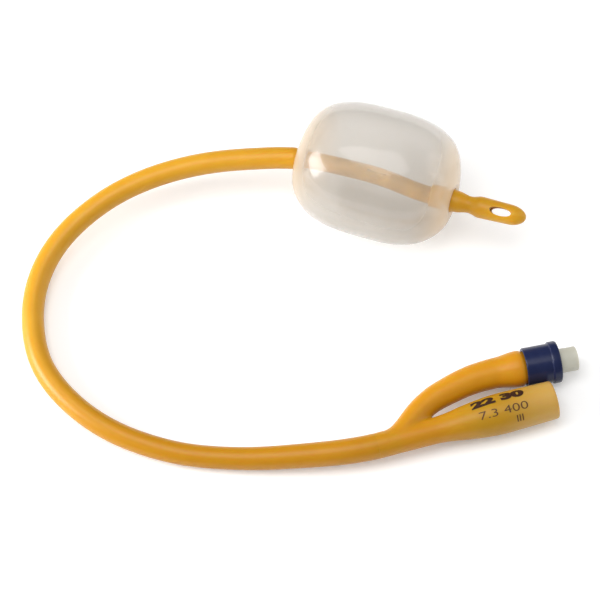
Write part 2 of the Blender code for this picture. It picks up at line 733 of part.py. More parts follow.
def make_collar(parts):
    look = material("navy_polypropylene", (0.023, 0.033, 0.085), 0.28)
    hole_r = LUER_R + FIT
    rim_foot = COLLAR_LENGTH - COLLAR_RIM_LENGTH
    rounding = COLLAR_ROUND
    profile = [(hole_r, COLLAR_LENGTH)]
    profile += arc((COLLAR_RIM_R - rounding, COLLAR_LENGTH - rounding), rounding, 90, 0, 3)
    profile += [
        (COLLAR_RIM_R, rim_foot + COLLAR_RIM_CHAMFER),
        (COLLAR_RIM_R - COLLAR_RIM_CHAMFER, rim_foot),
        (COLLAR_R, rim_foot),
    ]
    profile += arc((COLLAR_R - rounding, rounding), rounding, 0, -90, 3)
    profile += [(COLLAR_BORE_R, 0.0), (COLLAR_BORE_R, COLLAR_SHELF), (hole_r, COLLAR_SHELF)]
    collar = turned("valve_collar", profile, 32, closed=True)
    place(collar, parts, look, valve_frame())
    smooth(collar)


def make_valve_body(parts):
    look = material("ivory_luer_plastic", (0.56, 0.54, 0.44), 0.35)
    root_r = LUER_BORE_R - LUER_DEPTH * LUER_TAPER / 2
    profile = [
        (LUER_BORE_R, LUER_TOP),
        (LUER_R - EDGE, LUER_TOP),
        (LUER_R, LUER_TOP - EDGE),
        (LUER_R, BODY_FLANGE_TOP),
        (FLANGE_R, BODY_FLANGE_TOP),
        (FLANGE_R, BODY_FLANGE_FOOT),
        (SKIRT_R, BODY_FLANGE_FOOT),
        (SKIRT_R, SKIRT_FOOT),
        (CHAMBER_R, SKIRT_FOOT),
        (CHAMBER_R, VALVE_SEAT),
        (THROAT_R, VALVE_SEAT),
        (THROAT_R, THROAT_TOP),
        (root_r, THROAT_TOP),
    ]
    body = turned("valve_body", profile, 28, closed=True)
    place(body, parts, look, valve_frame())
    smooth(body)


def make_valve_tail(parts):
    look = material("natural_polypropylene", (0.62, 0.60, 0.52), 0.4)
    cup_foot = SKIRT_FOOT - FIT
    step = cup_foot - TAIL_CUP_FLOOR
    profile = [
        (CUP_R, TAIL_FLANGE_TOP),
        (FLANGE_R, TAIL_FLANGE_TOP),
        (FLANGE_R, TAIL_FLANGE_FOOT),
        (TAIL_CUP_R, TAIL_FLANGE_FOOT),
        (TAIL_CUP_R, step),
        (TAIL_R, step - TAIL_BARB_HEIGHT),
    ]
    # Barbs point towards the valve, so that the arm can't slide off
    pitch = (step + TAIL_REACH) / (TAIL_BARBS + 0.5)
    for i in range(TAIL_BARBS):
        top = -TAIL_REACH + pitch * (TAIL_BARBS - i)
        profile += [(TAIL_R, top), (TAIL_CUP_R, top - EDGE)]
        profile += [(TAIL_CUP_R, top - 3 * EDGE), (TAIL_R, top - pitch * TAIL_BARB_SLOPE)]
    profile += [
        (TAIL_R - EDGE, -TAIL_REACH),
        (TAIL_BORE_R, -TAIL_REACH),
        (TAIL_BORE_R, LEDGE_AT - LEDGE_THICKNESS),
        (LEDGE_HOLE_R, LEDGE_AT - LEDGE_THICKNESS),
        (LEDGE_HOLE_R, LEDGE_AT),
        (CHAMBER_R, LEDGE_AT),
        (CHAMBER_R, cup_foot),
        (CUP_R, cup_foot),
    ]
    tail = turned("valve_tail", profile, 24, closed=True)
    place(tail, parts, look, valve_frame())
    smooth(tail)


def make_stem(parts, carrier):
    look = material("white_acetal", (0.75, 0.75, 0.72), 0.3)
    pin_top = THROAT_TOP + PIN_RISE
    guide_foot = HEAD_FOOT - GUIDE_LENGTH
    profile = [
        (0.0, pin_top),
        (PIN_R - EDGE, pin_top),
        (PIN_R, pin_top - EDGE),
        (PIN_R, HEAD_TOP),
        (HEAD_R, HEAD_TOP),
        (HEAD_R, HEAD_FOOT),
        (GUIDE_R, HEAD_FOOT),
        (GUIDE_R, guide_foot + EDGE),
        (GUIDE_R - EDGE, guide_foot),
        (0.0, guide_foot),
    ]
    stem = turned("valve_stem", profile, 16)
    place(stem, parts, look)
    stem.parent = carrier
    smooth(stem)

    seal_look = material("black_nitrile_rubber", (0.02, 0.02, 0.02), 0.6)
    seal_foot = SEAL_TOP - SEAL_THICKNESS
    profile = [
        (PIN_R + FIT, SEAL_TOP),
        (SEAL_R - EDGE, SEAL_TOP),
        (SEAL_R, SEAL_TOP - EDGE),
        (SEAL_R, seal_foot + EDGE),
        (SEAL_R - EDGE, seal_foot),
        (PIN_R + FIT, seal_foot),
    ]
    seal = turned("stem_seal", profile, 16, closed=True)
    place(seal, parts, seal_look)
    seal.parent = carrier
    smooth(seal)


def make_spring(parts):
    look = material("spring_steel", (0.55, 0.55, 0.56), 0.25, metallic=1.0)
    coil_r = (CHAMBER_R + GUIDE_R) / 2
    top = HEAD_FOOT - FIT - SPRING_WIRE_R
    foot = LEDGE_AT + FIT + SPRING_WIRE_R
    end_rise = SPRING_CLOSED_RISE * SPRING_WIRE_R
    turns = [0, SPRING_CLOSED_TURNS, SPRING_TURNS - SPRING_CLOSED_TURNS, SPRING_TURNS]
    heights = [foot, foot + end_rise, top - end_rise, top]
    count = round(SPRING_TURNS * SPRING_POINTS_PER_TURN)
    points = []
    for i in range(count + 1):
        turn = SPRING_TURNS * i / count
        angle = 2 * math.pi * turn
        height = float(np.interp(turn, turns, heights))
        points.append(Vector((coil_r * math.cos(angle), coil_r * math.sin(angle), height)))
    spring = tube("spring_curve", points, [SPRING_WIRE_R] * len(points), 2)
    place(spring, parts)
    spring.matrix_world = valve_frame()
    spring = evaluated_mesh(spring, "valve_spring")
    spring.data.materials.clear()
    spring.data.materials.append(look)
    smooth(spring, 60)


def main():
    clear_scene()
    parts = collection("foley_urinary_catheter")
    cutters = collection("cutters")
    make_shaft(parts, cutters)
    make_tip(parts, cutters)
    make_balloon(parts)
    make_funnel(parts, cutters)
    make_collar(parts)
    make_valve_body(parts)
    make_valve_tail(parts)

    # The stem slides along the valve's axis, carried by an empty on that axis
    carrier = bpy.data.objects.new("stem_slide", None)
    parts.objects.link(carrier)
    carrier.matrix_world = valve_frame()
    make_stem(parts, carrier)
    make_spring(parts)


main()
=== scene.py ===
import json
import math

import bmesh
import bpy
import numpy as np
from mathutils import Matrix, Vector, noise


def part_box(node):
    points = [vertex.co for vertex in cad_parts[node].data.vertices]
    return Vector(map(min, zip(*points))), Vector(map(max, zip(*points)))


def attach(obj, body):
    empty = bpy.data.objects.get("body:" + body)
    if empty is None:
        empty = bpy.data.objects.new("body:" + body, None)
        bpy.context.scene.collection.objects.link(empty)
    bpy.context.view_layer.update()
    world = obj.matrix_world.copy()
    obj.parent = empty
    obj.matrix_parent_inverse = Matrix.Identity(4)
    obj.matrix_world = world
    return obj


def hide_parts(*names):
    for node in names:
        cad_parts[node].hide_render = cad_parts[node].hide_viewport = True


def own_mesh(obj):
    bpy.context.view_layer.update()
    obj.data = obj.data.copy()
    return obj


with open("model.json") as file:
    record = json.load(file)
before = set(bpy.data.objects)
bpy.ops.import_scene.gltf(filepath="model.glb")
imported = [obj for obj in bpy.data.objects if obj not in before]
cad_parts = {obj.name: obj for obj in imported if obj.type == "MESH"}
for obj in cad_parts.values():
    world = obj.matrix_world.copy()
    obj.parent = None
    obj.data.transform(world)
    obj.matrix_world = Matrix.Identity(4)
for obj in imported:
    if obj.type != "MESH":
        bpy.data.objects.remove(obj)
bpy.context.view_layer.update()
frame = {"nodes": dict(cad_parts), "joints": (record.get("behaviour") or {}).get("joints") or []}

# The looks of a two-way urinary catheter in amber latex: metres, +Z up, +X along the funnel.
CATHETER = "catheter"

# Camera: the photograph's viewing angle, over a plain white table
CAMERA_AZIMUTH = math.radians(-15.2)
CAMERA_ELEVATION = math.radians(61.8)
CAMERA_DISTANCE = 1.0
CAMERA_TARGET = Vector((0.0057, 0.0063, 0.0))
CAMERA_LENS = 181
SENSOR_WIDTH = 36

# Lamps are soft panels: name, place, size and power; the surroundings add an even light
LAMPS = [
    ("top_panel", (-0.12, -0.01, 0.80), (0.50, 0.50), 2.5),
    ("left_panel", (-0.80, 0.14, 0.32), (0.50, 0.40), 8.6),
    ("right_panel", (0.72, -0.06, 0.36), (0.50, 0.55), 1.2),
]
WORLD_LIGHT = 0.51
WORLD_SHEEN = 0.05          # the surroundings' strength in reflections

# Table: its paint, in linear values, as light meets it and as the camera does, and the glow that whitens it
TABLE_REACH = 3.0
TABLE_PAINT = (0.85, 0.85, 0.85, 1)
TABLE_PAINT_SEEN = (0.95, 0.95, 0.95, 1)
TABLE_GLOW = 0.17
TABLE_DROP = 0.00003

# Gaps, edges and meshes that the pieces share
FIT = 0.0003
OVERRUN = 0.001             # how far a cutter runs past the face that it opens
CRISP = 0.0001              # reach of an edge's rounding, from a crisp edge to a soft one
EASED = 0.0002
SOFT = 0.0005
WELD = 1e-6

# Shaft
SHAFT_R = 0.00733 / 2
SEAT_R = SHAFT_R - 0.00077
SEAT_SLOPE = 0.0012
ROOT_BUILD_UP = 0.00053
BUILD_UP_LENGTH = 0.055
SPIGOT_R = SHAFT_R - 0.00017
SPIGOT_LENGTH = 0.0070
SHOULDER_HALF = 0.00001     # half the length of the step down to the spigot
ROUTE_STEP = 0.0010
FILL_WALL = 0.00040
DRAIN_WALL = 0.00055
LUMEN_WALLS = 0.00130       # both walls and the web between the lumens, under the balloon
FILL_LUMEN_R = 0.00045
FILL_LUMEN_RISE = SEAT_R - FILL_WALL - FILL_LUMEN_R
DRAIN_LUMEN_R = (2 * (SEAT_R - FILL_LUMEN_R) - LUMEN_WALLS) / 2
DRAIN_LUMEN_DROP = SEAT_R - DRAIN_WALL - DRAIN_LUMEN_R
SKIVE_CUTTER_R = 0.0080
SKIVE_DEPTH = 0.00115
FILL_LUMEN_END = 0.005

# The moulding: where the shaft enters it, and the way that its funnel runs
BARREL_R = 0.0067
JUNCTION = Vector((0.0147, -0.0549, BARREL_R))
FUNNEL_LENGTH = 0.0598
FUNNEL_YAW = math.radians(0.9)
FUNNEL_RUN = Vector((math.cos(FUNNEL_YAW), math.sin(FUNNEL_YAW), 0))

# Centreline of the shaft, the same route as its solid follows
SHAFT_ROUTE = [
    (0.0010, -0.0535, 0.0062),
    (-0.0110, -0.0510, 0.0053),
    (-0.0226, -0.0482, 0.0044),
    (-0.0341, -0.0446, 0.0038),
    (-0.0452, -0.0402, 0.0037),
    (-0.0556, -0.0342, 0.0037),
    (-0.0650, -0.0268, 0.0037),
    (-0.0729, -0.0178, 0.0037),
    (-0.0789, -0.0075, 0.0037),
    (-0.0824, 0.0039, 0.0037),
    (-0.0823, 0.0159, 0.0038),
    (-0.0794, 0.0275, 0.0043),
    (-0.0736, 0.0379, 0.0053),
    (-0.0653, 0.0462, 0.0067),
    (-0.0551, 0.0522, 0.0084),
    (-0.0439, 0.0561, 0.0102),
    (-0.0322, 0.0577, 0.0122),
    (-0.0204, 0.0575, 0.0141),
    (-0.0087, 0.0558, 0.0158),
    (0.0029, 0.0529, 0.0172),
]
SEAT_ROUTE = [
    (0.0284, 0.0418, 0.0193),
    (0.0425, 0.0320, 0.0203),
]

# Balloon
BALLOON_ENTRY = Vector((0.0168, 0.0484, 0.0184))
BALLOON_EXIT = Vector((0.0612, 0.0175, 0.0218))
BALLOON_MIDDLE = (BALLOON_ENTRY + BALLOON_EXIT) / 2
BALLOON_HALF = (BALLOON_EXIT - BALLOON_ENTRY).length / 2
BALLOON_R = 0.0220
BALLOON_FULLNESS = 2.9
BALLOON_WALL = 0.00040
BALLOON_LEAN = 0.0015       # how far the bulge stands off the shaft's line, to one side
BALLOON_SINK = 0.0001       # how deep the bulge would reach into the table, where it is flattened
BALLOON_RISE = BALLOON_R - BALLOON_SINK - BALLOON_MIDDLE.z
LEAN_WHOLE_AT = 0.8         # share of the bulge's radius from which on it has moved the whole way
CUFF_LENGTH = 0.0030
CUFF_STAND_OFF = 0.0005     # the sleeve's outer side over the shaft's seat, past the gap
CUFF_CORNER = 0.0006
SWELLS_TO_METRE = 45
SWELL_HEIGHT = 0.00025

# Tip
TIP_HEADING = math.radians(-33.2)
TIP_PITCH = math.radians(3.6)
TIP_CUFF_WALL = 0.00065
TIP_CUFF_R = SEAT_R + FIT + TIP_CUFF_WALL
TIP_CUFF_LENGTH = 0.0080
TIP_CUFF_TAPER = 0.0015
TIP_STEP = 0.0010
TIP_SHOULDER_R = SHAFT_R - 0.00009
TIP_NECK_R = 0.00280
TIP_NECK_AT = 0.0054
TIP_HEAD_R = SHAFT_R - 0.00007
TIP_HEAD_AT = 0.0092
TIP_NOSE_R = TIP_HEAD_R - 0.00025
TIP_NOSE_AT = 0.0190
TIP_LENGTH = 0.0246
TIP_SOCKET_DEPTH = 0.0070
EYE_AT = 0.0162
EYE_LENGTH = 0.0072
EYE_WIDTH = 0.0027
EYE_TURN = math.radians(27)
TIP_VOXEL = 0.00016

# Funnel: distance from the junction and radius
FUNNEL_STATIONS = [
    (0.0, SHAFT_R + ROOT_BUILD_UP),
    (0.0200, 0.00430),
    (0.0245, 0.00475),
    (0.0290, 0.00550),
    (0.0335, 0.00610),
    (0.0380, 0.00655),
    (0.0425, BARREL_R),
    (0.0520, 0.00645),
]
STATION_ROUND = 0.0012
ROOT_TRIM = 0.0030
MOUTH_R = 0.00625
MOUTH_WALL = 0.00130
MOUTH_ROUND = 0.00055
MOUTH_FLARE = 0.0016
MOUTH_LIP = 0.0004
MOUTH_LIP_ROUND = 0.0006
MOUTH_BORE_LENGTH = 0.0060
BORE_RISE_LENGTH = 0.0120
BORE_THROAT_AT = 0.0353
BORE_THROAT_R = 0.00400
BORE_ROUND = 0.0015
FUNNEL_VOXEL = 0.00030
CROTCH = JUNCTION + Vector((0.0150, 0.0035, 0))
CROTCH_REACH = 0.0125

# Arm: place from the junction and radius; its route starts early, so that it comes in straight
ARM_ROUTE = [
    (-0.0060, 0.0000, 0.0000, 0.00360),
    (0.0030, 0.0000, 0.0000, 0.00400),
    (0.0084, 0.0018, 0.0000, 0.00410),
    (0.0129, 0.0053, 0.0000, 0.00415),
    (0.0197, 0.0101, 0.0001, 0.00420),
    (0.0283, 0.0131, 0.0001, 0.00455),
    (0.0362, 0.0147, 0.0002, 0.00480),
]
ARM_RUN_IN = 5              # points of its line that only steer it and are left out again
ARM_NECK_R = 0.00500
ARM_STRAIGHT = 0.0100
ARM_SWELL_STEPS = 12
ARM_SHOULDER_AT = 0.0020
ARM_R = 0.0052
ARM_SHOULDER_R = ARM_R + 0.00075
ARM_TOP = 0.0063
ARM_BORE_R = 0.0042
TAIL_REACH = 0.0070
TAIL_CONE = 0.0016

# Valve: its axis is the stem's, and its place is the collar's
COLLAR_LENGTH = 0.0115
COLLAR_R = 0.0064
COLLAR_WALL = 0.0009
COLLAR_END_WALL = 0.0023
COLLAR_HOLE_ROUND = 0.0003
RIM_R = COLLAR_R + 0.0005
RIM_LENGTH = 0.0028
RIM_ROUND = 0.0008
RIM_FOOT_ROUND = 0.0004
LUER_R = 0.0040
LUER_REACH = 0.0061
LUER_BORE_R = 0.00213
LUER_DEPTH = 0.0075
LUER_TAPER = 0.06
THROAT_R = 0.00125
THROAT_LENGTH = 0.0010
CHAMBER_R = 0.00245
SKIRT_WALL = 0.00065
SKIRT_LENGTH = 0.0024
FLANGE_THICKNESS = 0.0010
SPRING_WIRE_R = 0.00020
SPRING_FOOT = -0.0004
SPRING_TOP = 0.0061
SPRING_TURNS = 5.5
SPRING_CLOSED_TURNS = 0.75
SPRING_CLOSED_RISE = 2.6 * SPRING_WIRE_R
SPRING_COIL_R = 0.001775
SPRING_STEPS = 28           # straight lengths in each turn
STEM_JOINT = frame["joints"][0]
VALVE_AXIS = -Vector(STEM_JOINT["axis"]).normalized()
COLLAR_LOW, COLLAR_HIGH = [Vector(corner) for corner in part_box("valve_collar")]
VALVE_ORIGIN = (COLLAR_LOW + COLLAR_HIGH) / 2 - VALVE_AXIS * COLLAR_LENGTH / 2

# Print: width, height, boldness, distance along the funnel and degrees round it
BOLD_NUMBERS = ("22 30", 0.0178, 0.0034, 0.00024, 0.0409, -26)
FAINT_NUMBERS = ("7.3 400", 0.0162, 0.0026, -0.00001, 0.0417, 17)
PRINT_LIFT = 0.00004
MARKS = 3
MARK_WIDTH = 0.0004
MARK_HEIGHT = 0.0024
MARK_AT = 0.0455
MARK_PITCH = 0.0009
MARK_TURN = 50

# Tones of each colour, a deep one and a pale one
TUBE_TONES = ("#cb9216", "#d7a02a")
# Deeper amber for the shaft's front stretch by the moulding: partly its built-up wall, partly painted shade
ROOT_SHADE_TONES = ("#b77c04", "#c3890d")
SEAT_TONES = ("#b28420", "#cb9a36")
TIP_TONES = ("#ca9210", "#d6a022")
CROTCH_TONES = ("#bd7f05", "#c98c11")
ARM_TONES = ("#c98809", "#d39416")
BARREL_TONES = ("#ae7e08", "#bc8e18")
MOUTH_TONE = "#cba356"
FILM_TONES = ("#dcd8d1", "#e5e2dc")
CUFF_TONE = "#ead7bb"
# Grey of the film's edge line, which is painted shade
FILM_EDGE_SHADE_TONE = "#98958f"
NAVY_TONES = ("#1a2142", "#222a4c")
IVORY_TONES = ("#cac8b8", "#d3d1c4")
NATURAL_TONES = ("#d2cfc0", "#dcd9cc")
WHITE_TONES = ("#e4e4e0", "#efefec")
BLACK_TONES = ("#161616", "#1f1f1f")
STEEL_TONES = ("#a9a9aa", "#c4c4c6")
BOLD_INK_TONES = ("#271005", "#46240e")
FAINT_INK_TONES = ("#4c2a0c", "#684014")
WHITE = "#ffffff"

# Real sizes of the patches in each pattern; a fraction says how many there are to a metre
CLOUD_SIZE = 0.008
BLOTCH_SIZE = 0.00625
RIPPLE_SIZE = 1 / 650
FILM_CLOUD_SIZE = 1 / 60
MOTTLE_SIZE = 0.0025
TOOL_GRAIN_SIZE = 0.0004
DRAWN_GRAIN_SIZE = 1 / 3000
INK_GAP_SIZE = 1 / 1500

# Where the latex changes colour: the first value is the start of a change, the second its end
# The shaft's deeper amber towards the front is partly its built-up wall and partly painted shade
ROOT_SHADE_CHANGE_Y = (0.022, -0.044)
SEAT_CHANGE_X = (BALLOON_ENTRY.x + 0.002, BALLOON_ENTRY.x + 0.010)
ARM_CHANGE_Y = (JUNCTION.y + 0.003, JUNCTION.y + 0.011)
BARREL_CHANGE_X = (JUNCTION.x + 0.016, JUNCTION.x + 0.036)
BARREL_EDGE_Y = (JUNCTION.y + BARREL_R + 0.0018, JUNCTION.y + BARREL_R + 0.0004)
MOUTH_CHANGE_X = (JUNCTION.x + 0.038, JUNCTION.x + 0.060)
MOUTH_SHARE = 0.85

# How much the balloon's film veils what lies behind it
FILM_IOR = 1.36
FILM_VEIL = 0.23
FILM_EDGE_VEIL = 0.42
CUFF_VEIL = 0.20            # added by the cuffs
UNDERSIDE_VEIL = 0.20       # added on the side by the table
UNDERSIDE_CHANGE_Z = (0.034, 0.014)
FILM_GLOW_SHARE = 0.52


def linear(colour):
    """Linear red, green, blue and one, from an sRGB hex colour."""
    value = int(colour.lstrip("#"), 16)
    channels = [(value >> shift & 255) / 255 for shift in (16, 8, 0)]
    return tuple(c / 12.92 if c <= 0.04045 else ((c + 0.055) / 1.055) ** 2.4 for c in channels) + (1.0,)


def along_axis(origin, direction):
    """A frame at origin whose +Z is the direction and whose +Y leans upwards."""
    axis_z = direction.normalized()
    axis_x = Vector((0, 0, 1)).cross(axis_z).normalized()
    axis_y = axis_z.cross(axis_x)
    place = Matrix((axis_x, axis_y, axis_z)).transposed().to_4x4()
    place.translation = origin
    return place


def tip_direction():
    flat = math.cos(TIP_PITCH)
    return Vector((math.cos(TIP_HEADING) * flat, math.sin(TIP_HEADING) * flat, math.sin(TIP_PITCH)))


TIP_PLACE = along_axis(BALLOON_EXIT, tip_direction())
BALLOON_PLACE = along_axis(BALLOON_MIDDLE, BALLOON_EXIT - BALLOON_ENTRY)
FUNNEL_PLACE = along_axis(JUNCTION, FUNNEL_RUN)
VALVE_PLACE = along_axis(VALVE_ORIGIN, VALVE_AXIS)


def ease(value):
    value = min(1.0, max(0.0, value))
    return value * value * (3 - 2 * value)


def smooth_route(route, step):
    """Points a step apart on the natural cubic spline through the route's own points."""
    knots = np.array([tuple(point) for point in route], dtype=float)
    along = np.concatenate([[0.0], np.cumsum(np.linalg.norm(np.diff(knots, axis=0), axis=1))])
    gap = np.diff(along)
    count = len(knots)
    system = np.eye(count)
    right = np.zeros_like(knots)
    for i in range(1, count - 1):
        system[i, i - 1] = gap[i - 1]
        system[i, i] = 2 * (gap[i - 1] + gap[i])
        system[i, i + 1] = gap[i]
        right[i] = 6 * ((knots[i + 1] - knots[i]) / gap[i] - (knots[i] - knots[i - 1]) / gap[i - 1])
    bend = np.linalg.solve(system, right)
    made = []
    for where in np.linspace(0.0, along[-1], max(2, round(along[-1] / step) + 1)):
        i = min(int(np.searchsorted(along, where, side="right")) - 1, count - 2)
        a = (along[i + 1] - where) / gap[i]
        b = (where - along[i]) / gap[i]
        value = a * knots[i] + b * knots[i + 1]
        value = value + ((a ** 3 - a) * bend[i] + (b ** 3 - b) * bend[i + 1]) * gap[i] ** 2 / 6
        made.append(Vector(value))
    return made


def distances(points):
    """How far each point lies along the line through the points."""
    total = [0.0]
    for here, there in zip(points, points[1:]):
        total.append(total[-1] + (there - here).length)
    return total


def nearest(points, place):
    """The number of the point that is nearest to a place."""
    return min(range(len(points)), key=lambda i: (points[i] - place).length)


def shifted(points, rise):
    """The same route, moved across its own run and upwards by rise."""
    made = []
    last = len(points) - 1
    for i, point in enumerate(points):
        run = (points[min(i + 1, last)] - points[max(i - 1, 0)]).normalized()
        made.append(point + (Vector((0, 0, 1)) - run * run.z).normalized() * rise)
    return made


def rounded(corners, steps=4):
    """An outline through (radius, height, reach) corners, each rounded over its reach."""
    made = []
    last = len(corners) - 1
    for i, (radius, height, reach) in enumerate(corners):
        here = Vector((radius, height))
        if reach == 0 or i in (0, last):
            made.append(tuple(here))
            continue
        before = Vector(corners[i - 1][:2]) - here
        after = Vector(corners[i + 1][:2]) - here
        start = here + before.normalized() * min(reach, before.length / 2)
        end = here + after.normalized() * min(reach, after.length / 2)
        for j in range(steps + 1):
            t = j / steps
            made.append(tuple(start * (1 - t) ** 2 + here * 2 * t * (1 - t) + end * t * t))
    return made


def blend(start, end, steps):
    """Points of (radius, height) from start to end, level at both ends."""
    made = []
    for i in range(steps + 1):
        share = i / steps
        radius = start[0] + (end[0] - start[0]) * ease(share)
        made.append((radius, start[1] + (end[1] - start[1]) * share))
    return made


def placed(name, data):
    """A new object in the scene, with the mesh, curve, camera or light that is its data."""
    thing = bpy.data.objects.new(name, data)
    bpy.context.scene.collection.objects.link(thing)
    return thing


def shade(piece, sharp=40):
    """Smooth shading but for edges sharper than an angle."""
    piece.data.shade_smooth()
    piece.data.set_sharp_from_angle(angle=math.radians(sharp))


def finished(form, name, sharp=40):
    """A smooth object at the origin from a bmesh, which is used up."""
    data = bpy.data.meshes.new(name)
    form.to_mesh(data)
    form.free()
    piece = placed(name, data)
    shade(piece, sharp)
    return piece


def taken(thing):
    """The evaluated object as a bmesh, in place of the object."""
    bpy.context.view_layer.update()
    data = bpy.data.meshes.new_from_object(thing.evaluated_get(bpy.context.evaluated_depsgraph_get()))
    bpy.data.objects.remove(thing, do_unlink=True)
    form = bmesh.new()
    form.from_mesh(data)
    bpy.data.meshes.remove(data)
    return form


def welded(form):
    """The bmesh with its doubles merged and its faces pointing outwards."""
    bmesh.ops.remove_doubles(form, verts=form.verts, dist=WELD)
    bmesh.ops.recalc_face_normals(form, faces=form.faces)
    return form


def baked(thing, name):
    """The evaluated object as a plain mesh piece, welded, in place of the object."""
    return finished(welded(taken(thing)), name)


def turned(outline, segments, ring=False):
    """A bmesh from an outline of (radius, height) turned about +Z; a ring's outline closes on itself."""
    form = bmesh.new()
    verts = [form.verts.new((radius, 0, height)) for radius, height in outline]
    edges = [form.edges.new(pair) for pair in zip(verts, verts[1:])]
    if ring:
        edges.append(form.edges.new((verts[-1], verts[0])))
    bmesh.ops.spin(
        form, geom=verts + edges, cent=(0, 0, 0), axis=(0, 0, 1), angle=2 * math.pi, steps=segments,
        use_merge=True,
    )
    return welded(form)


def spun(name, outline, place, segments, ring=False):
    """A turned piece, put in its place."""
    form = turned(outline, segments, ring)
    bmesh.ops.transform(form, matrix=place, verts=form.verts)
    return finished(form, name)


def tube(name, points, radii, resolution):
    """A round tube along the points, made a mesh; resolution is the curve's bevel resolution."""
    data = bpy.data.curves.new(name, "CURVE")
    data.dimensions = "3D"
    data.bevel_depth = 1.0
    data.bevel_resolution = resolution
    data.use_fill_caps = True
    spline = data.splines.new("POLY")
    spline.points.add(len(points) - 1)
    for knot, point, radius in zip(spline.points, points, radii):
        knot.co = (*point, 1.0)
        knot.radius = radius
    return baked(placed(name, data), name)


def cut(piece, tools, operation="DIFFERENCE"):
    """The piece with each tool cut out of it, or joined to it; the tools are used up."""
    name = piece.name
    for tool in tools:
        step = piece.modifiers.new(tool.name, "BOOLEAN")
        step.operation = operation
        step.solver = "EXACT"
        step.object = tool
    made = baked(piece, name)
    for tool in tools:
        bpy.data.objects.remove(tool, do_unlink=True)
    return made


def smooth(form, verts, passes):
    for _ in range(passes):
        bmesh.ops.smooth_vert(
            form, verts=verts, factor=0.5, use_axis_x=True, use_axis_y=True, use_axis_z=True
        )


def remeshed(piece, voxel, passes):
    """The piece with an even skin, then smoothed a little, which rounds its edges as dipping does."""
    name = piece.name
    step = piece.modifiers.new("skin", "REMESH")
    step.mode = "VOXEL"
    step.voxel_size = voxel
    made = baked(piece, name)
    form = bmesh.new()
    form.from_mesh(made.data)
    smooth(form, form.verts, passes)
    form.to_mesh(made.data)
    form.free()
    return made


def dress(piece, finish, slot, *nodes, body=CATHETER):
    """Gives a piece its material and its body, and hides the solids that it stands for."""
    piece.data.materials.clear()
    piece.data.materials.append(finish)
    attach(piece, body)
    if nodes:
        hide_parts(*nodes)


def make_camera():
    data = bpy.data.cameras.new("camera")
    data.lens = CAMERA_LENS
    data.sensor_width = SENSOR_WIDTH
    camera = placed("camera", data)
    flat = math.cos(CAMERA_ELEVATION)
    back = Vector((
        math.sin(CAMERA_AZIMUTH) * flat,
        -math.cos(CAMERA_AZIMUTH) * flat,
        math.sin(CAMERA_ELEVATION),
    ))
    camera.location = CAMERA_TARGET + back * CAMERA_DISTANCE
    camera.rotation_euler = (math.pi / 2 - CAMERA_ELEVATION, 0, CAMERA_AZIMUTH)
    bpy.context.scene.camera = camera


def shaft_route():
    """The shaft's own points, from its end in the funnel to its end in the tip."""
    run = tip_direction()
    route = [JUNCTION + FUNNEL_RUN * SPIGOT_LENGTH, JUNCTION]
    route += [Vector(point) for point in SHAFT_ROUTE] + [BALLOON_ENTRY]
    route += [Vector(point) for point in SEAT_ROUTE]
    route += [BALLOON_EXIT - run * (TIP_CUFF_LENGTH + 2 * OVERRUN)]
    route += [BALLOON_EXIT - run * (TIP_CUFF_LENGTH - TIP_SOCKET_DEPTH + FIT)]
    return route


def shaft_radius(where, seat_at):
    """The shaft's radius at a distance: built up by the moulding, and thinner on the balloon's seat."""
    built = 1 - ease((where - SPIGOT_LENGTH) / BUILD_UP_LENGTH)
    seated = ease((where - seat_at + SEAT_SLOPE) / SEAT_SLOPE)
    radius = SHAFT_R + ROOT_BUILD_UP * built
    return radius + (SEAT_R - radius) * seated


def make_shaft(latex):
    """The extruded two-lumen tube, with the thinner seat and the skived hole under the balloon."""
    points = smooth_route(shaft_route(), ROUTE_STEP)
    # Two rings at nearly one place make a square shoulder against the moulding
    root = nearest(points, JUNCTION)
    run = (points[root + 1] - points[root]).normalized()
    points[root:root + 1] = [points[root] - run * SHOULDER_HALF, points[root] + run * SHOULDER_HALF]
    along = distances(points)
    seat_at = along[nearest(points, BALLOON_ENTRY)]
    radii = [SPIGOT_R if i <= root else shaft_radius(where, seat_at) for i, where in enumerate(along)]
    shaft = tube("shaft_tube", points, radii, resolution=14)

    # Both lumens start past the shaft's end, and the small one stops beyond the skived hole
    ends = [points[0] * 2 - points[1]] + points[1:-1] + [points[-1] * 2 - points[-2]]
    drain = tube("drain", shifted(ends, -DRAIN_LUMEN_DROP), [DRAIN_LUMEN_R] * len(ends), resolution=6)
    skive_at = seat_at + BALLOON_HALF
    filled = [point for point, where in zip(ends, along) if where < skive_at + FILL_LUMEN_END]
    fill = tube("fill", shifted(filled, FILL_LUMEN_RISE), [FILL_LUMEN_R] * len(filled), resolution=3)
    at = min(range(len(points)), key=lambda i: abs(along[i] - skive_at))
    across, up, _ = along_axis(points[at], points[at + 1] - points[at]).to_3x3().col
    centre = points[at] + up * (SEAT_R - SKIVE_DEPTH + SKIVE_CUTTER_R)
    form = bmesh.new()
    bmesh.ops.create_cone(
        form, cap_ends=True, segments=96, radius1=SKIVE_CUTTER_R, radius2=SKIVE_CUTTER_R, depth=SEAT_R * 4
    )
    bmesh.ops.transform(form, matrix=along_axis(centre, across), verts=form.verts)
    shaft = cut(shaft, [drain, fill, finished(form, "skive")])
    dress(shaft, latex, "latex_tube", "shaft")


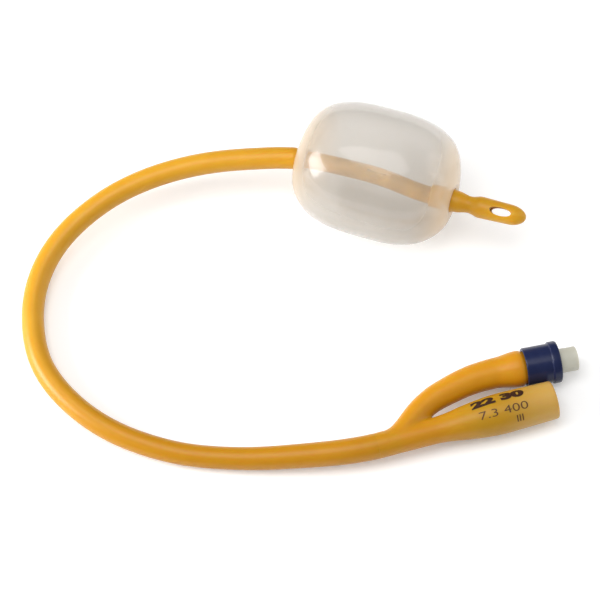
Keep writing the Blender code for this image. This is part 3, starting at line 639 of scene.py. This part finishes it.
def make_tip(latex):
    """The moulded tip: cuff under the balloon, waist, bullet head and two opposing eyes."""
    nose_depth = TIP_LENGTH - TIP_NOSE_AT
    outline = [(0.0, TIP_LENGTH)]
    for degrees in range(5, 95, 5):
        angle = math.radians(degrees)
        outline.append((TIP_NOSE_R * math.sin(angle), TIP_NOSE_AT + nose_depth * math.cos(angle)))
    outline += blend((TIP_HEAD_R, TIP_HEAD_AT), (TIP_NECK_R, TIP_NECK_AT), steps=12)
    outline += blend((TIP_NECK_R, TIP_NECK_AT), (TIP_SHOULDER_R, TIP_STEP), steps=12)[1:]
    outline += blend((TIP_SHOULDER_R, TIP_STEP), (TIP_CUFF_R, -TIP_STEP), steps=6)[1:]
    outline += [
        (TIP_CUFF_R, -TIP_CUFF_LENGTH + TIP_CUFF_TAPER),
        (TIP_CUFF_R - TIP_CUFF_WALL / 2, -TIP_CUFF_LENGTH),
        (0.0, -TIP_CUFF_LENGTH),
    ]
    tip = spun("tip_moulding", outline, TIP_PLACE, segments=72)
    # The lumen ends in a dome, just past the eyes
    socket_end = -TIP_CUFF_LENGTH + TIP_SOCKET_DEPTH
    lumen_end = EYE_AT + EYE_LENGTH / 2 - DRAIN_LUMEN_R
    bore = [(0.0, lumen_end + DRAIN_LUMEN_R)]
    for degrees in (60, 40, 20, 0):
        angle = math.radians(degrees)
        bore.append((DRAIN_LUMEN_R * math.cos(angle), lumen_end + DRAIN_LUMEN_R * math.sin(angle)))
    bore += [
        (DRAIN_LUMEN_R, socket_end),
        (SEAT_R + FIT, socket_end),
        (SEAT_R + FIT, -TIP_CUFF_LENGTH - OVERRUN),
        (0.0, -TIP_CUFF_LENGTH - OVERRUN),
    ]
    hollow = spun("tip_bore", bore, TIP_PLACE, segments=40)
    form = bmesh.new()
    bmesh.ops.create_cone(form, cap_ends=True, segments=64, radius1=0.5, radius2=0.5, depth=TIP_HEAD_R * 4)
    bmesh.ops.scale(form, vec=(EYE_WIDTH, EYE_LENGTH, 1.0), verts=form.verts)
    place = TIP_PLACE @ Matrix.Translation((0, 0, EYE_AT)) @ Matrix.Rotation(EYE_TURN, 4, "Z")
    place = place @ Matrix.Rotation(math.radians(90), 4, "X")
    bmesh.ops.transform(form, matrix=place, verts=form.verts)
    tip = cut(tip, [hollow, finished(form, "eyes")])
    tip = remeshed(tip, TIP_VOXEL, passes=3)
    shade(tip, sharp=60)
    dress(tip, latex, "latex_moulding", "tip")


def balloon_outline(steps):
    """Outer outline from the tip's cuff round the bulge to the shaft's cuff."""
    power = 2 / BALLOON_FULLNESS
    exit_r = TIP_CUFF_R + FIT
    entry_r = SEAT_R + FIT + CUFF_STAND_OFF
    outline = [(exit_r, BALLOON_HALF - CUFF_LENGTH), (exit_r, BALLOON_HALF - CUFF_CORNER)]
    for i in range(1, steps):
        angle = math.pi * i / steps
        height = BALLOON_HALF * math.copysign(abs(math.cos(angle)) ** power, math.cos(angle))
        radius = BALLOON_R * math.sin(angle) ** power
        if radius > (exit_r if height > 0 else entry_r) + CUFF_CORNER:
            outline.append((radius, height))
    outline += [(entry_r, -BALLOON_HALF + CUFF_CORNER), (entry_r, -BALLOON_HALF + CUFF_LENGTH)]
    return outline


def make_balloon(film):
    """The blown latex sleeve, with a true wall and its two cuffs turned in on the shaft and the tip."""
    exit_r = TIP_CUFF_R + FIT
    form = turned(balloon_outline(steps=150), segments=144)
    turn_back = BALLOON_PLACE.inverted()
    side = turn_back.to_3x3() @ Vector((-math.sin(TIP_HEADING), math.cos(TIP_HEADING), 0))
    lean = side * BALLOON_LEAN + Vector((0, BALLOON_RISE, 0))
    for vert in form.verts:
        radius = math.hypot(vert.co.x, vert.co.y)
        whole = ease((radius - exit_r) / (BALLOON_R * LEAN_WHOLE_AT - exit_r))
        vert.co += lean * whole
        # The rubber is a little uneven, so the bulge isn't a perfect turned form
        swell = noise.noise(vert.co * SWELLS_TO_METRE) * SWELL_HEIGHT * whole
        vert.co += Vector((vert.co.x, vert.co.y, 0)).normalized() * swell
        # Where it would sink into the table it is flattened
        world = BALLOON_PLACE @ vert.co
        world.z = max(world.z, 0.0)
        vert.co = world
    # The faces point away from the balloon's middle, so the wall grows inwards
    balloon = finished(form, "balloon_skin", sharp=180)
    wall = balloon.modifiers.new("wall", "SOLIDIFY")
    wall.thickness = BALLOON_WALL
    wall.offset = -1
    wall.use_rim = True
    balloon = baked(balloon, "balloon_skin")
    shade(balloon, sharp=60)
    dress(balloon, film, "balloon_latex", "balloon")


def arm_line():
    """Centreline and radii of the inflation arm, to its end inside the collar."""
    route = [JUNCTION + Vector(point[:3]) for point in ARM_ROUTE]
    route.append(VALVE_PLACE @ Vector((0, 0, -ARM_STRAIGHT)))
    radii = [point[3] for point in ARM_ROUTE] + [ARM_NECK_R]
    points = smooth_route(route, ROUTE_STEP)
    widths = [float(np.interp(where, distances(route), radii)) for where in distances(points)]
    for i in range(1, ARM_SWELL_STEPS + 1):
        share = i / ARM_SWELL_STEPS
        where = -ARM_STRAIGHT + (ARM_STRAIGHT - ARM_SHOULDER_AT) * share
        points.append(VALVE_PLACE @ Vector((0, 0, where)))
        widths.append(ARM_NECK_R + (ARM_SHOULDER_R - ARM_NECK_R) * ease(share))
    # A rounded shoulder behind the collar, then the straight end inside it
    for degrees in (30, 60, 90):
        angle = math.radians(degrees)
        reach = ARM_SHOULDER_AT - FIT
        points.append(VALVE_PLACE @ Vector((0, 0, -ARM_SHOULDER_AT + reach * math.sin(angle))))
        widths.append(ARM_R + (ARM_SHOULDER_R - ARM_R) * math.cos(angle))
    points.append(VALVE_PLACE @ Vector((0, 0, ARM_TOP)))
    widths.append(ARM_R)
    return points[ARM_RUN_IN:], widths[ARM_RUN_IN:]


def fill_crotch(piece):
    """Smooths the crotch of the Y, whose web is fuller than two tubes that only meet."""
    form = bmesh.new()
    form.from_mesh(piece.data)
    near = [vert for vert in form.verts if (vert.co - CROTCH).length < CROTCH_REACH]
    smooth(form, near, passes=30)
    form.to_mesh(piece.data)
    form.free()


def funnel_cutters():
    """All that is hollow in the Y moulding, and the trim that squares its end."""
    socket_end = SPIGOT_LENGTH + FIT
    socket_r = SPIGOT_R + FIT
    axis_at = socket_end + BORE_RISE_LENGTH
    mouth_bore = MOUTH_R - MOUTH_WALL
    bore = rounded([
        (0.0, FUNNEL_LENGTH + OVERRUN, 0),
        (mouth_bore + MOUTH_FLARE, FUNNEL_LENGTH + OVERRUN, 0),
        (mouth_bore, FUNNEL_LENGTH - MOUTH_LIP, MOUTH_LIP_ROUND),
        (mouth_bore, FUNNEL_LENGTH - MOUTH_BORE_LENGTH, BORE_ROUND),
        (BORE_THROAT_R, BORE_THROAT_AT, BORE_ROUND),
        (DRAIN_LUMEN_R, axis_at, 0),
        (0.0, axis_at, 0),
    ])
    socket = [(0.0, socket_end), (socket_r, socket_end), (socket_r, -OVERRUN), (0.0, -OVERRUN)]
    # The end is trimmed square after the smoothing, so that it runs on flush from the shaft
    trim = [(0.0, -FIT / 2), (2 * ARM_R, -FIT / 2), (2 * ARM_R, -2 * ROOT_TRIM), (0.0, -2 * ROOT_TRIM)]
    # The shaft's drainage lumen lies low, and from it the bore rises to the funnel's axis
    low = JUNCTION + FUNNEL_RUN * SPIGOT_LENGTH + Vector((0, 0, -DRAIN_LUMEN_DROP))
    rise = [low, low + FUNNEL_RUN * 2 * FIT, JUNCTION + FUNNEL_RUN * (axis_at + OVERRUN)]
    seat = [
        (0.0, ARM_TOP + OVERRUN),
        (ARM_BORE_R, ARM_TOP + OVERRUN),
        (ARM_BORE_R, -TAIL_REACH - FIT),
        (0.0, -TAIL_REACH - FIT - TAIL_CONE),
    ]
    return [
        spun("bore", bore, FUNNEL_PLACE, segments=64),
        spun("socket", socket, FUNNEL_PLACE, segments=48),
        spun("trim", trim, FUNNEL_PLACE, segments=32),
        tube("rise", rise, [DRAIN_LUMEN_R] * len(rise), resolution=8),
        spun("seat", seat, VALVE_PLACE, segments=48),
    ]


def make_funnel(latex):
    """The Y moulding in one piece: drainage funnel and inflation arm, with the web between them."""
    outline = [(0.0, FUNNEL_LENGTH, 0), (MOUTH_R, FUNNEL_LENGTH, MOUTH_ROUND)]
    outline += [(radius, where, STATION_ROUND) for where, radius in reversed(FUNNEL_STATIONS)]
    outline += [(SHAFT_R + ROOT_BUILD_UP, -ROOT_TRIM, 0), (0.0, -ROOT_TRIM, 0)]
    barrel = spun("y_moulding", rounded(outline), FUNNEL_PLACE, segments=72)
    barrel = cut(barrel, [tube("arm", *arm_line(), resolution=14)], "UNION")
    barrel = remeshed(barrel, FUNNEL_VOXEL, passes=2)
    fill_crotch(barrel)
    barrel = cut(barrel, funnel_cutters())
    shade(barrel, sharp=50)
    dress(barrel, latex, "latex_funnel", "y_funnel")


def make_collar(finish):
    """The navy collar that clamps the arm on the valve, with a raised rim at its outer end."""
    hole_r = LUER_R + FIT
    bore_r = COLLAR_R - COLLAR_WALL
    rim_foot = COLLAR_LENGTH - RIM_LENGTH
    shelf = COLLAR_LENGTH - COLLAR_END_WALL
    outline = rounded([
        (hole_r, COLLAR_LENGTH - 2 * COLLAR_HOLE_ROUND, 0),
        (hole_r, COLLAR_LENGTH, COLLAR_HOLE_ROUND),
        (RIM_R, COLLAR_LENGTH, RIM_ROUND),
        (RIM_R, rim_foot, RIM_FOOT_ROUND),
        (COLLAR_R, rim_foot - CRISP, EASED),
        (COLLAR_R, 0.0, SOFT),
        (bore_r, 0.0, EASED),
        (bore_r, shelf, CRISP),
        (hole_r, shelf, CRISP),
    ], steps=5)
    collar = spun("collar", outline, VALVE_PLACE, segments=96, ring=True)
    dress(collar, finish, "navy_plastic", "valve_collar")


def make_luer(finish):
    """The ivory inlet with its tapered bore, throat, chamber and skirt."""
    top = COLLAR_LENGTH + LUER_REACH
    throat_top = top - LUER_DEPTH
    seat = throat_top - THROAT_LENGTH
    flange_top = COLLAR_LENGTH - COLLAR_END_WALL - FIT
    flange_foot = flange_top - FLANGE_THICKNESS
    skirt_foot = flange_foot - SKIRT_LENGTH
    skirt_r = CHAMBER_R + SKIRT_WALL
    outline = rounded([
        (LUER_BORE_R, top, EASED),
        (LUER_R, top, SOFT),
        (LUER_R, flange_top, 0),
        (ARM_R, flange_top, CRISP),
        (ARM_R, flange_foot, CRISP),
        (skirt_r, flange_foot, 0),
        (skirt_r, skirt_foot, CRISP),
        (CHAMBER_R, skirt_foot, CRISP),
        (CHAMBER_R, seat, 0),
        (THROAT_R, seat, CRISP),
        (THROAT_R, throat_top, CRISP),
        (LUER_BORE_R - LUER_DEPTH * LUER_TAPER / 2, throat_top, CRISP),
    ], steps=5)
    luer = spun("luer_inlet", outline, VALVE_PLACE, segments=72, ring=True)
    dress(luer, finish, "ivory_plastic", "valve_body")


def make_spring(steel):
    """The coil behind the stem, which shortens as the stem goes in."""
    foot = SPRING_FOOT + SPRING_WIRE_R
    top = SPRING_TOP - SPRING_WIRE_R
    turns = [0, SPRING_CLOSED_TURNS, SPRING_TURNS - SPRING_CLOSED_TURNS, SPRING_TURNS]
    heights = [foot, foot + SPRING_CLOSED_RISE, top - SPRING_CLOSED_RISE, top]
    points = []
    for i in range(round(SPRING_TURNS * SPRING_STEPS) + 1):
        turn = i / SPRING_STEPS
        angle = 2 * math.pi * turn
        flat = Vector((math.cos(angle), math.sin(angle), 0)) * SPRING_COIL_R
        points.append(VALVE_PLACE @ (flat + Vector((0, 0, float(np.interp(turn, turns, heights))))))
    spring = tube("coil_spring", points, [SPRING_WIRE_R] * len(points), resolution=3)
    dress(spring, steel, "spring_steel", "valve_spring")
    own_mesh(spring)


def barrel_radius(where):
    """The funnel's outer radius at a distance from the junction."""
    stations = [station[0] for station in FUNNEL_STATIONS] + [FUNNEL_LENGTH]
    radii = [station[1] for station in FUNNEL_STATIONS] + [MOUTH_R]
    return float(np.interp(where, stations, radii))


def wrapped(form, name, along, degrees):
    """Flat print wrapped on the barrel: x runs along it from a distance, y round it from an angle."""
    for vert in form.verts:
        where = along + vert.co.x
        radius = barrel_radius(where) + PRINT_LIFT
        angle = math.radians(degrees) - vert.co.y / radius
        vert.co = FUNNEL_PLACE @ Vector((-radius * math.sin(angle), radius * math.cos(angle), where))
    return finished(form, name, sharp=180)


def print_bar(width, height):
    """A flat bar of print, cut into short lengths so that it can be wrapped."""
    form = bmesh.new()
    bmesh.ops.create_grid(form, x_segments=12, y_segments=8, size=0.5)
    bmesh.ops.scale(form, vec=(width, height, 1), verts=form.verts)
    return form


def print_number(text, width, height, boldness):
    """Plain numbers as flat print, of a width and height, cut small so that they can be wrapped."""
    data = bpy.data.curves.new(text, "FONT")
    data.body = text
    data.size = height
    data.offset = boldness
    data.resolution_u = 4
    form = taken(placed(text, data))
    low = Vector([min(vert.co[i] for vert in form.verts) for i in range(3)])
    high = Vector([max(vert.co[i] for vert in form.verts) for i in range(3)])
    bmesh.ops.translate(form, vec=-(low + high) / 2, verts=form.verts)
    bmesh.ops.scale(form, vec=(width / (high.x - low.x), height / (high.y - low.y), 1), verts=form.verts)
    bmesh.ops.triangulate(form, faces=form.faces)
    bmesh.ops.subdivide_edges(form, edges=form.edges, cuts=3, use_grid_fill=True)
    bmesh.ops.triangulate(form, faces=form.faces)
    return form


def make_print(bold_ink, faint_ink):
    """A generic size print on the barrel: two rows of plain numbers and a small mark of three bars."""
    for row, ink in ((BOLD_NUMBERS, bold_ink), (FAINT_NUMBERS, faint_ink)):
        text, width, height, boldness, along, degrees = row
        name = f"print_{text.replace(' ', '_')}"
        dress(wrapped(print_number(text, width, height, boldness), name, along, degrees), ink, "latex_funnel")
    for i in range(MARKS):
        bar = print_bar(MARK_WIDTH, MARK_HEIGHT)
        dress(wrapped(bar, f"print_mark_{i}", MARK_AT + MARK_PITCH * i, MARK_TURN), faint_ink, "latex_funnel")


def add(tree, kind, inputs=(), **settings):
    """A node with its settings; its inputs are sockets to link, hex colours to make linear, or values."""
    node = tree.nodes.new(kind)
    for name, value in settings.items():
        setattr(node, name, value)
    for name, value in dict(inputs).items():
        if isinstance(value, bpy.types.NodeSocket):
            tree.links.new(value, node.inputs[name])
        else:
            node.inputs[name].default_value = linear(value) if isinstance(value, str) else value
    return node


def new_material(name):
    """A material with an empty tree, its tree, and the object coordinates that its patterns read."""
    made = bpy.data.materials.new(name)
    made.use_nodes = True
    tree = made.node_tree
    tree.nodes.clear()
    return made, tree, add(tree, "ShaderNodeTexCoord").outputs["Object"]


def patched(tree, where, size, *tones, detail=2, roughness=0.5):
    """A colour for each pair of tones, all in the same soft patches of a real size."""
    patches = add(tree, "ShaderNodeTexNoise", {
        "Vector": where, "Scale": 1 / size, "Detail": detail, "Roughness": roughness,
    }).outputs["Fac"]
    return [
        add(tree, "ShaderNodeMix", {0: patches, 6: deep, 7: pale}, data_type="RGBA").outputs[2]
        for deep, pale in tones
    ]


def rippled(tree, where, size, depth, strength):
    """A normal for a surface with soft ripples of a real size and depth."""
    ripple = add(tree, "ShaderNodeTexNoise", {"Vector": where, "Scale": 1 / size, "Detail": 2})
    bump = add(tree, "ShaderNodeBump", {
        "Height": ripple.outputs["Fac"], "Strength": strength, "Distance": depth,
    })
    return bump.outputs["Normal"]


def latex_skin(tree, where, colour):
    """Natural rubber latex, dip coated: satin, and it lets light a little way in, so its shadows are warm."""
    shader = add(tree, "ShaderNodeBsdfPrincipled", {
        "Base Color": colour,
        "Roughness": 0.38,
        "IOR": 1.52,
        "Specular IOR Level": 0.38,
        "Subsurface Weight": 0.45,
        "Subsurface Radius": (1.0, 0.45, 0.10),
        "Subsurface Scale": 0.0020,
        # Dipping leaves a soft ripple, drawn 0.03 mm deep
        "Normal": rippled(tree, where, RIPPLE_SIZE, depth=0.00003, strength=0.25),
    })
    add(tree, "ShaderNodeOutputMaterial", {"Surface": shader.outputs["BSDF"]})


def latex_clouds(tree, where, *tones):
    """Amber for each pair of tones, clouded because the rubber is thicker in places."""
    return patched(tree, where, CLOUD_SIZE, *tones, detail=3, roughness=0.6)


def tube_latex():
    """The dipped latex of the shaft, in amber that deepens towards the moulding and the front of the loop:
    partly its built-up wall, partly painted shade.
    """
    made, tree, where = new_material("dipped_latex_tube")
    place = add(tree, "ShaderNodeSeparateXYZ", {"Vector": where}).outputs
    thin, built_up_and_shaded = latex_clouds(tree, where, TUBE_TONES, ROOT_SHADE_TONES)
    # The tube is built up towards the moulding, and its amber is deeper towards the front: partly for the
    # thicker wall, partly painted shade where the loop gets less light
    root = add(
        tree, "ShaderNodeMapRange",
        {"Value": place["Y"], "From Min": ROOT_SHADE_CHANGE_Y[0], "From Max": ROOT_SHADE_CHANGE_Y[1]},
        interpolation_type="SMOOTHSTEP",
    )
    colour = add(tree, "ShaderNodeMix", {0: root.outputs["Result"], 6: thin, 7: built_up_and_shaded}, data_type="RGBA")
    # Under the balloon the thinner seat is duller, and blotched where the glue has stained it
    blotch = add(tree, "ShaderNodeTexNoise", {"Vector": where, "Scale": 1 / BLOTCH_SIZE, "Detail": 2})
    blotch = add(
        tree, "ShaderNodeMapRange", {"Value": blotch.outputs["Fac"], "From Min": 0.36, "From Max": 0.64}
    )
    stained = add(
        tree, "ShaderNodeMix", {0: blotch.outputs["Result"], 6: SEAT_TONES[0], 7: SEAT_TONES[1]},
        data_type="RGBA",
    )
    past = add(
        tree, "ShaderNodeMapRange",
        {"Value": place["X"], "From Min": SEAT_CHANGE_X[0], "From Max": SEAT_CHANGE_X[1]},
        interpolation_type="SMOOTHSTEP",
    )
    upper = add(tree, "ShaderNodeMath", {0: place["Y"], 1: 0.0}, operation="GREATER_THAN")
    seat = add(
        tree, "ShaderNodeMath", {0: past.outputs["Result"], 1: upper.outputs["Value"]},
        operation="MULTIPLY",
    )
    colour = add(
        tree, "ShaderNodeMix", {0: seat.outputs["Value"], 6: colour.outputs[2], 7: stained.outputs[2]},
        data_type="RGBA",
    )
    latex_skin(tree, where, colour.outputs[2])
    return made


def tip_latex():
    """The moulded latex of the tip, in one amber."""
    made, tree, where = new_material("moulded_latex_tip")
    latex_skin(tree, where, latex_clouds(tree, where, TIP_TONES)[0])
    return made


def funnel_latex():
    """The moulded latex of the Y, whose amber pales from the crotch to the arm and to the mouth."""
    made, tree, where = new_material("moulded_latex_funnel")
    place = add(tree, "ShaderNodeSeparateXYZ", {"Vector": where}).outputs
    thick, thin, blown = latex_clouds(tree, where, CROTCH_TONES, ARM_TONES, BARREL_TONES)
    # The arm is thin-walled, so its amber is lighter than where the shaft comes in
    arm = add(
        tree, "ShaderNodeMapRange",
        {"Value": place["Y"], "From Min": ARM_CHANGE_Y[0], "From Max": ARM_CHANGE_Y[1]},
        interpolation_type="SMOOTHSTEP",
    )
    colour = add(tree, "ShaderNodeMix", {0: arm.outputs["Result"], 6: thick, 7: thin}, data_type="RGBA")
    # The blown-out barrel is thinner still, less orange, and palest by its mouth
    along = add(
        tree, "ShaderNodeMapRange",
        {"Value": place["X"], "From Min": BARREL_CHANGE_X[0], "From Max": BARREL_CHANGE_X[1]},
        interpolation_type="SMOOTHSTEP",
    )
    across = add(
        tree, "ShaderNodeMapRange",
        {"Value": place["Y"], "From Min": BARREL_EDGE_Y[0], "From Max": BARREL_EDGE_Y[1]},
        interpolation_type="SMOOTHSTEP",
    )
    barrel = add(
        tree, "ShaderNodeMath", {0: along.outputs["Result"], 1: across.outputs["Result"]},
        operation="MULTIPLY",
    )
    mouth = add(
        tree, "ShaderNodeMapRange",
        {
            "Value": place["X"],
            "From Min": MOUTH_CHANGE_X[0], "From Max": MOUTH_CHANGE_X[1],
            "To Max": MOUTH_SHARE,
        },
        interpolation_type="SMOOTHSTEP",
    )
    blown = add(
        tree, "ShaderNodeMix", {0: mouth.outputs["Result"], 6: blown, 7: MOUTH_TONE}, data_type="RGBA"
    )
    colour = add(
        tree, "ShaderNodeMix", {0: barrel.outputs["Value"], 6: colour.outputs[2], 7: blown.outputs[2]},
        data_type="RGBA",
    )
    latex_skin(tree, where, colour.outputs[2])
    return made


def balloon_film():
    """Latex blown thin: milky but see-through, glossy, and denser where it is seen edge on, with painted grey
    shade along its edges.
    """
    made, tree, where = new_material("blown_latex_film")
    facing = add(tree, "ShaderNodeLayerWeight", {"Blend": 0.5}).outputs["Facing"]
    veil = add(
        tree, "ShaderNodeMapRange",
        {"Value": facing, "From Min": 0.2, "From Max": 0.95, "To Min": FILM_VEIL, "To Max": FILM_EDGE_VEIL},
        interpolation_type="SMOOTHSTEP",
    )
    # By both cuffs the film is less stretched, so it is thicker there, and warmer
    off = add(tree, "ShaderNodeVectorMath", {0: where, 1: tuple(BALLOON_MIDDLE)}, operation="SUBTRACT")
    axis = tuple((BALLOON_EXIT - BALLOON_ENTRY).normalized())
    along = add(tree, "ShaderNodeVectorMath", {0: off.outputs["Vector"], 1: axis}, operation="DOT_PRODUCT")
    reach = add(tree, "ShaderNodeMath", {0: along.outputs["Value"]}, operation="ABSOLUTE")
    cuff = add(
        tree, "ShaderNodeMapRange",
        {"Value": reach.outputs["Value"], "From Min": BALLOON_HALF * 0.60, "From Max": BALLOON_HALF * 1.02},
        interpolation_type="SMOOTHSTEP",
    )
    veil = add(
        tree, "ShaderNodeMath", {0: cuff.outputs["Result"], 1: CUFF_VEIL, 2: veil.outputs["Result"]},
        operation="MULTIPLY_ADD",
    )
    # The side that lies on the table is cloudier than the top, so the shaft shows and the table doesn't
    height = add(tree, "ShaderNodeSeparateXYZ", {"Vector": where})
    under = add(
        tree, "ShaderNodeMapRange",
        {"Value": height.outputs["Z"], "From Min": UNDERSIDE_CHANGE_Z[0], "From Max": UNDERSIDE_CHANGE_Z[1]},
        interpolation_type="SMOOTHSTEP",
    )
    veil = add(
        tree, "ShaderNodeMath", {0: under.outputs["Result"], 1: UNDERSIDE_VEIL, 2: veil.outputs["Value"]},
        operation="MULTIPLY_ADD",
    )
    colour = patched(tree, where, FILM_CLOUD_SIZE, FILM_TONES)[0]
    colour = add(
        tree, "ShaderNodeMix", {0: cuff.outputs["Result"], 6: colour, 7: CUFF_TONE}, data_type="RGBA"
    )
    # Painted shade: a thin grey line where the film is seen edge on
    edge_shade = add(
        tree, "ShaderNodeMapRange", {"Value": facing, "From Min": 0.86, "From Max": 1.0, "To Max": 0.8},
        interpolation_type="SMOOTHSTEP",
    )
    colour = add(
        tree, "ShaderNodeMix", {0: edge_shade.outputs["Result"], 6: colour.outputs[2], 7: FILM_EDGE_SHADE_TONE},
        data_type="RGBA",
    )
    haze = add(tree, "ShaderNodeBsdfDiffuse", {"Color": colour.outputs[2]})
    glow = add(tree, "ShaderNodeBsdfTranslucent", {"Color": colour.outputs[2]})
    milk = add(
        tree, "ShaderNodeMixShader",
        {0: FILM_GLOW_SHARE, 1: haze.outputs["BSDF"], 2: glow.outputs["BSDF"]},
    )
    clear = add(tree, "ShaderNodeBsdfTransparent", {"Color": WHITE})
    film = add(
        tree, "ShaderNodeMixShader",
        {0: veil.outputs["Value"], 1: clear.outputs["BSDF"], 2: milk.outputs["Shader"]},
    )
    gloss = add(tree, "ShaderNodeBsdfGlossy", {"Color": WHITE, "Roughness": 0.18})
    # Rays go straight on through the film, so its inner sides reflect no more than its outer ones
    side = add(tree, "ShaderNodeNewGeometry")
    ior = add(
        tree, "ShaderNodeMapRange",
        {"Value": side.outputs["Backfacing"], "To Min": FILM_IOR, "To Max": 1 / FILM_IOR},
    )
    shine = add(tree, "ShaderNodeFresnel", {"IOR": ior.outputs["Result"]})
    whole = add(
        tree, "ShaderNodeMixShader",
        {0: shine.outputs["Fac"], 1: film.outputs["Shader"], 2: gloss.outputs["BSDF"]},
    )
    add(tree, "ShaderNodeOutputMaterial", {"Surface": whole.outputs["Shader"]})
    return made


def moulded_plastic(name, tones, roughness, subsurface=0.0):
    """An injection moulding: even colour, smooth gloss, with the faintest mottle from the tool."""
    made, tree, where = new_material(name)
    shader = add(tree, "ShaderNodeBsdfPrincipled", {
        "Base Color": patched(tree, where, MOTTLE_SIZE, tones)[0],
        "Roughness": roughness,
        "Specular IOR Level": 0.30,
        "IOR": 1.49,
        "Subsurface Weight": subsurface,
        "Subsurface Radius": (1.0, 0.9, 0.7),
        "Subsurface Scale": 0.0015,
        "Normal": rippled(tree, where, TOOL_GRAIN_SIZE, depth=0.00002, strength=0.15),
    })
    add(tree, "ShaderNodeOutputMaterial", {"Surface": shader.outputs["BSDF"]})
    return made


def drawn_steel():
    """Stainless spring wire: bright metal, a little rough from drawing."""
    made, tree, where = new_material("drawn_steel")
    shader = add(tree, "ShaderNodeBsdfPrincipled", {
        "Base Color": patched(tree, where, DRAWN_GRAIN_SIZE, STEEL_TONES)[0],
        "Metallic": 1.0,
        "Roughness": 0.28,
    })
    add(tree, "ShaderNodeOutputMaterial", {"Surface": shader.outputs["BSDF"]})
    return made


def printing_ink(name, tones):
    """Brown stamping ink that has sunk into the latex: matt, with thin places."""
    made, tree, where = new_material(name)
    shader = add(tree, "ShaderNodeBsdfPrincipled", {
        "Base Color": patched(tree, where, INK_GAP_SIZE, tones, detail=3)[0],
        "Roughness": 0.55,
    })
    add(tree, "ShaderNodeOutputMaterial", {"Surface": shader.outputs["BSDF"]})
    return made


def redress_nodes(finishes):
    """A better material on each solid whose own shape is shown."""
    for node, finish in finishes.items():
        holder = frame["nodes"][node].material_slots[0]
        holder.link = "OBJECT"
        holder.material = finish


def make_floor():
    """A white table: camera rays see it white, and it still takes the catheter's shadow."""
    made, tree, _ = new_material("white_table")
    path = add(tree, "ShaderNodeLightPath").outputs
    seen = path["Is Camera Ray"]
    for ray in ("Is Glossy Ray", "Is Transmission Ray"):
        seen = add(tree, "ShaderNodeMath", {0: seen, 1: path[ray]}, operation="MAXIMUM").outputs["Value"]
    lift = add(tree, "ShaderNodeMath", {0: seen, 1: TABLE_GLOW}, operation="MULTIPLY")
    glow = add(tree, "ShaderNodeEmission", {"Color": WHITE, "Strength": lift.outputs["Value"]})
    paint = add(
        tree, "ShaderNodeMix", {0: path["Is Camera Ray"], 6: TABLE_PAINT, 7: TABLE_PAINT_SEEN},
        data_type="RGBA",
    )
    matt = add(tree, "ShaderNodeBsdfDiffuse", {"Color": paint.outputs[2]})
    both = add(tree, "ShaderNodeAddShader", {0: matt.outputs["BSDF"], 1: glow.outputs["Emission"]})
    add(tree, "ShaderNodeOutputMaterial", {"Surface": both.outputs["Shader"]})
    # A hair lower than the flattened patch under the balloon, so that the two don't coincide
    form = bmesh.new()
    bmesh.ops.create_grid(
        form, x_segments=1, y_segments=1, size=TABLE_REACH, matrix=Matrix.Translation((0, 0, -TABLE_DROP))
    )
    floor = finished(form, "table")
    floor.data.materials.append(made)


def make_world():
    """Even surroundings: white to the camera, a soft fill as a light, and dim in reflections."""
    world = bpy.data.worlds.new("surroundings")
    world.use_nodes = True
    tree = world.node_tree
    tree.nodes.clear()
    path = add(tree, "ShaderNodeLightPath").outputs
    light = add(
        tree, "ShaderNodeMapRange",
        {"Value": path["Is Glossy Ray"], "To Min": WORLD_LIGHT, "To Max": WORLD_SHEEN},
    )
    strength = add(
        tree, "ShaderNodeMath", {0: path["Is Camera Ray"], 1: light.outputs["Result"]},
        operation="MAXIMUM",
    )
    sky = add(tree, "ShaderNodeBackground", {"Color": WHITE, "Strength": strength.outputs["Value"]})
    add(tree, "ShaderNodeOutputWorld", {"Surface": sky.outputs["Background"]})
    bpy.context.scene.world = world


def make_lamp(name, place, size, power):
    """A soft panel at a place, which faces the object."""
    data = bpy.data.lights.new(name, "AREA")
    data.shape = "RECTANGLE"
    data.size, data.size_y = size
    data.energy = power
    lamp = placed(name, data)
    lamp.location = place
    lamp.rotation_euler = Vector(place).to_track_quat("Z", "Y").to_euler()


make_camera()
make_shaft(tube_latex())
make_tip(tip_latex())
make_balloon(balloon_film())
make_funnel(funnel_latex())
make_collar(moulded_plastic("navy_polypropylene", NAVY_TONES, roughness=0.27))
make_luer(moulded_plastic("ivory_polypropylene", IVORY_TONES, roughness=0.38, subsurface=0.25))
make_spring(drawn_steel())
make_print(printing_ink("stamping_ink", BOLD_INK_TONES), printing_ink("faint_stamping_ink", FAINT_INK_TONES))
redress_nodes({
    "valve_tail": moulded_plastic("natural_polypropylene", NATURAL_TONES, roughness=0.42, subsurface=0.25),
    "valve_stem": moulded_plastic("white_acetal", WHITE_TONES, roughness=0.32),
    "stem_seal": moulded_plastic("black_nitrile", BLACK_TONES, roughness=0.6),
})
make_floor()
make_world()
for lamp in LAMPS:
    make_lamp(*lamp)
bpy.context.scene.view_settings.view_transform = "Standard"
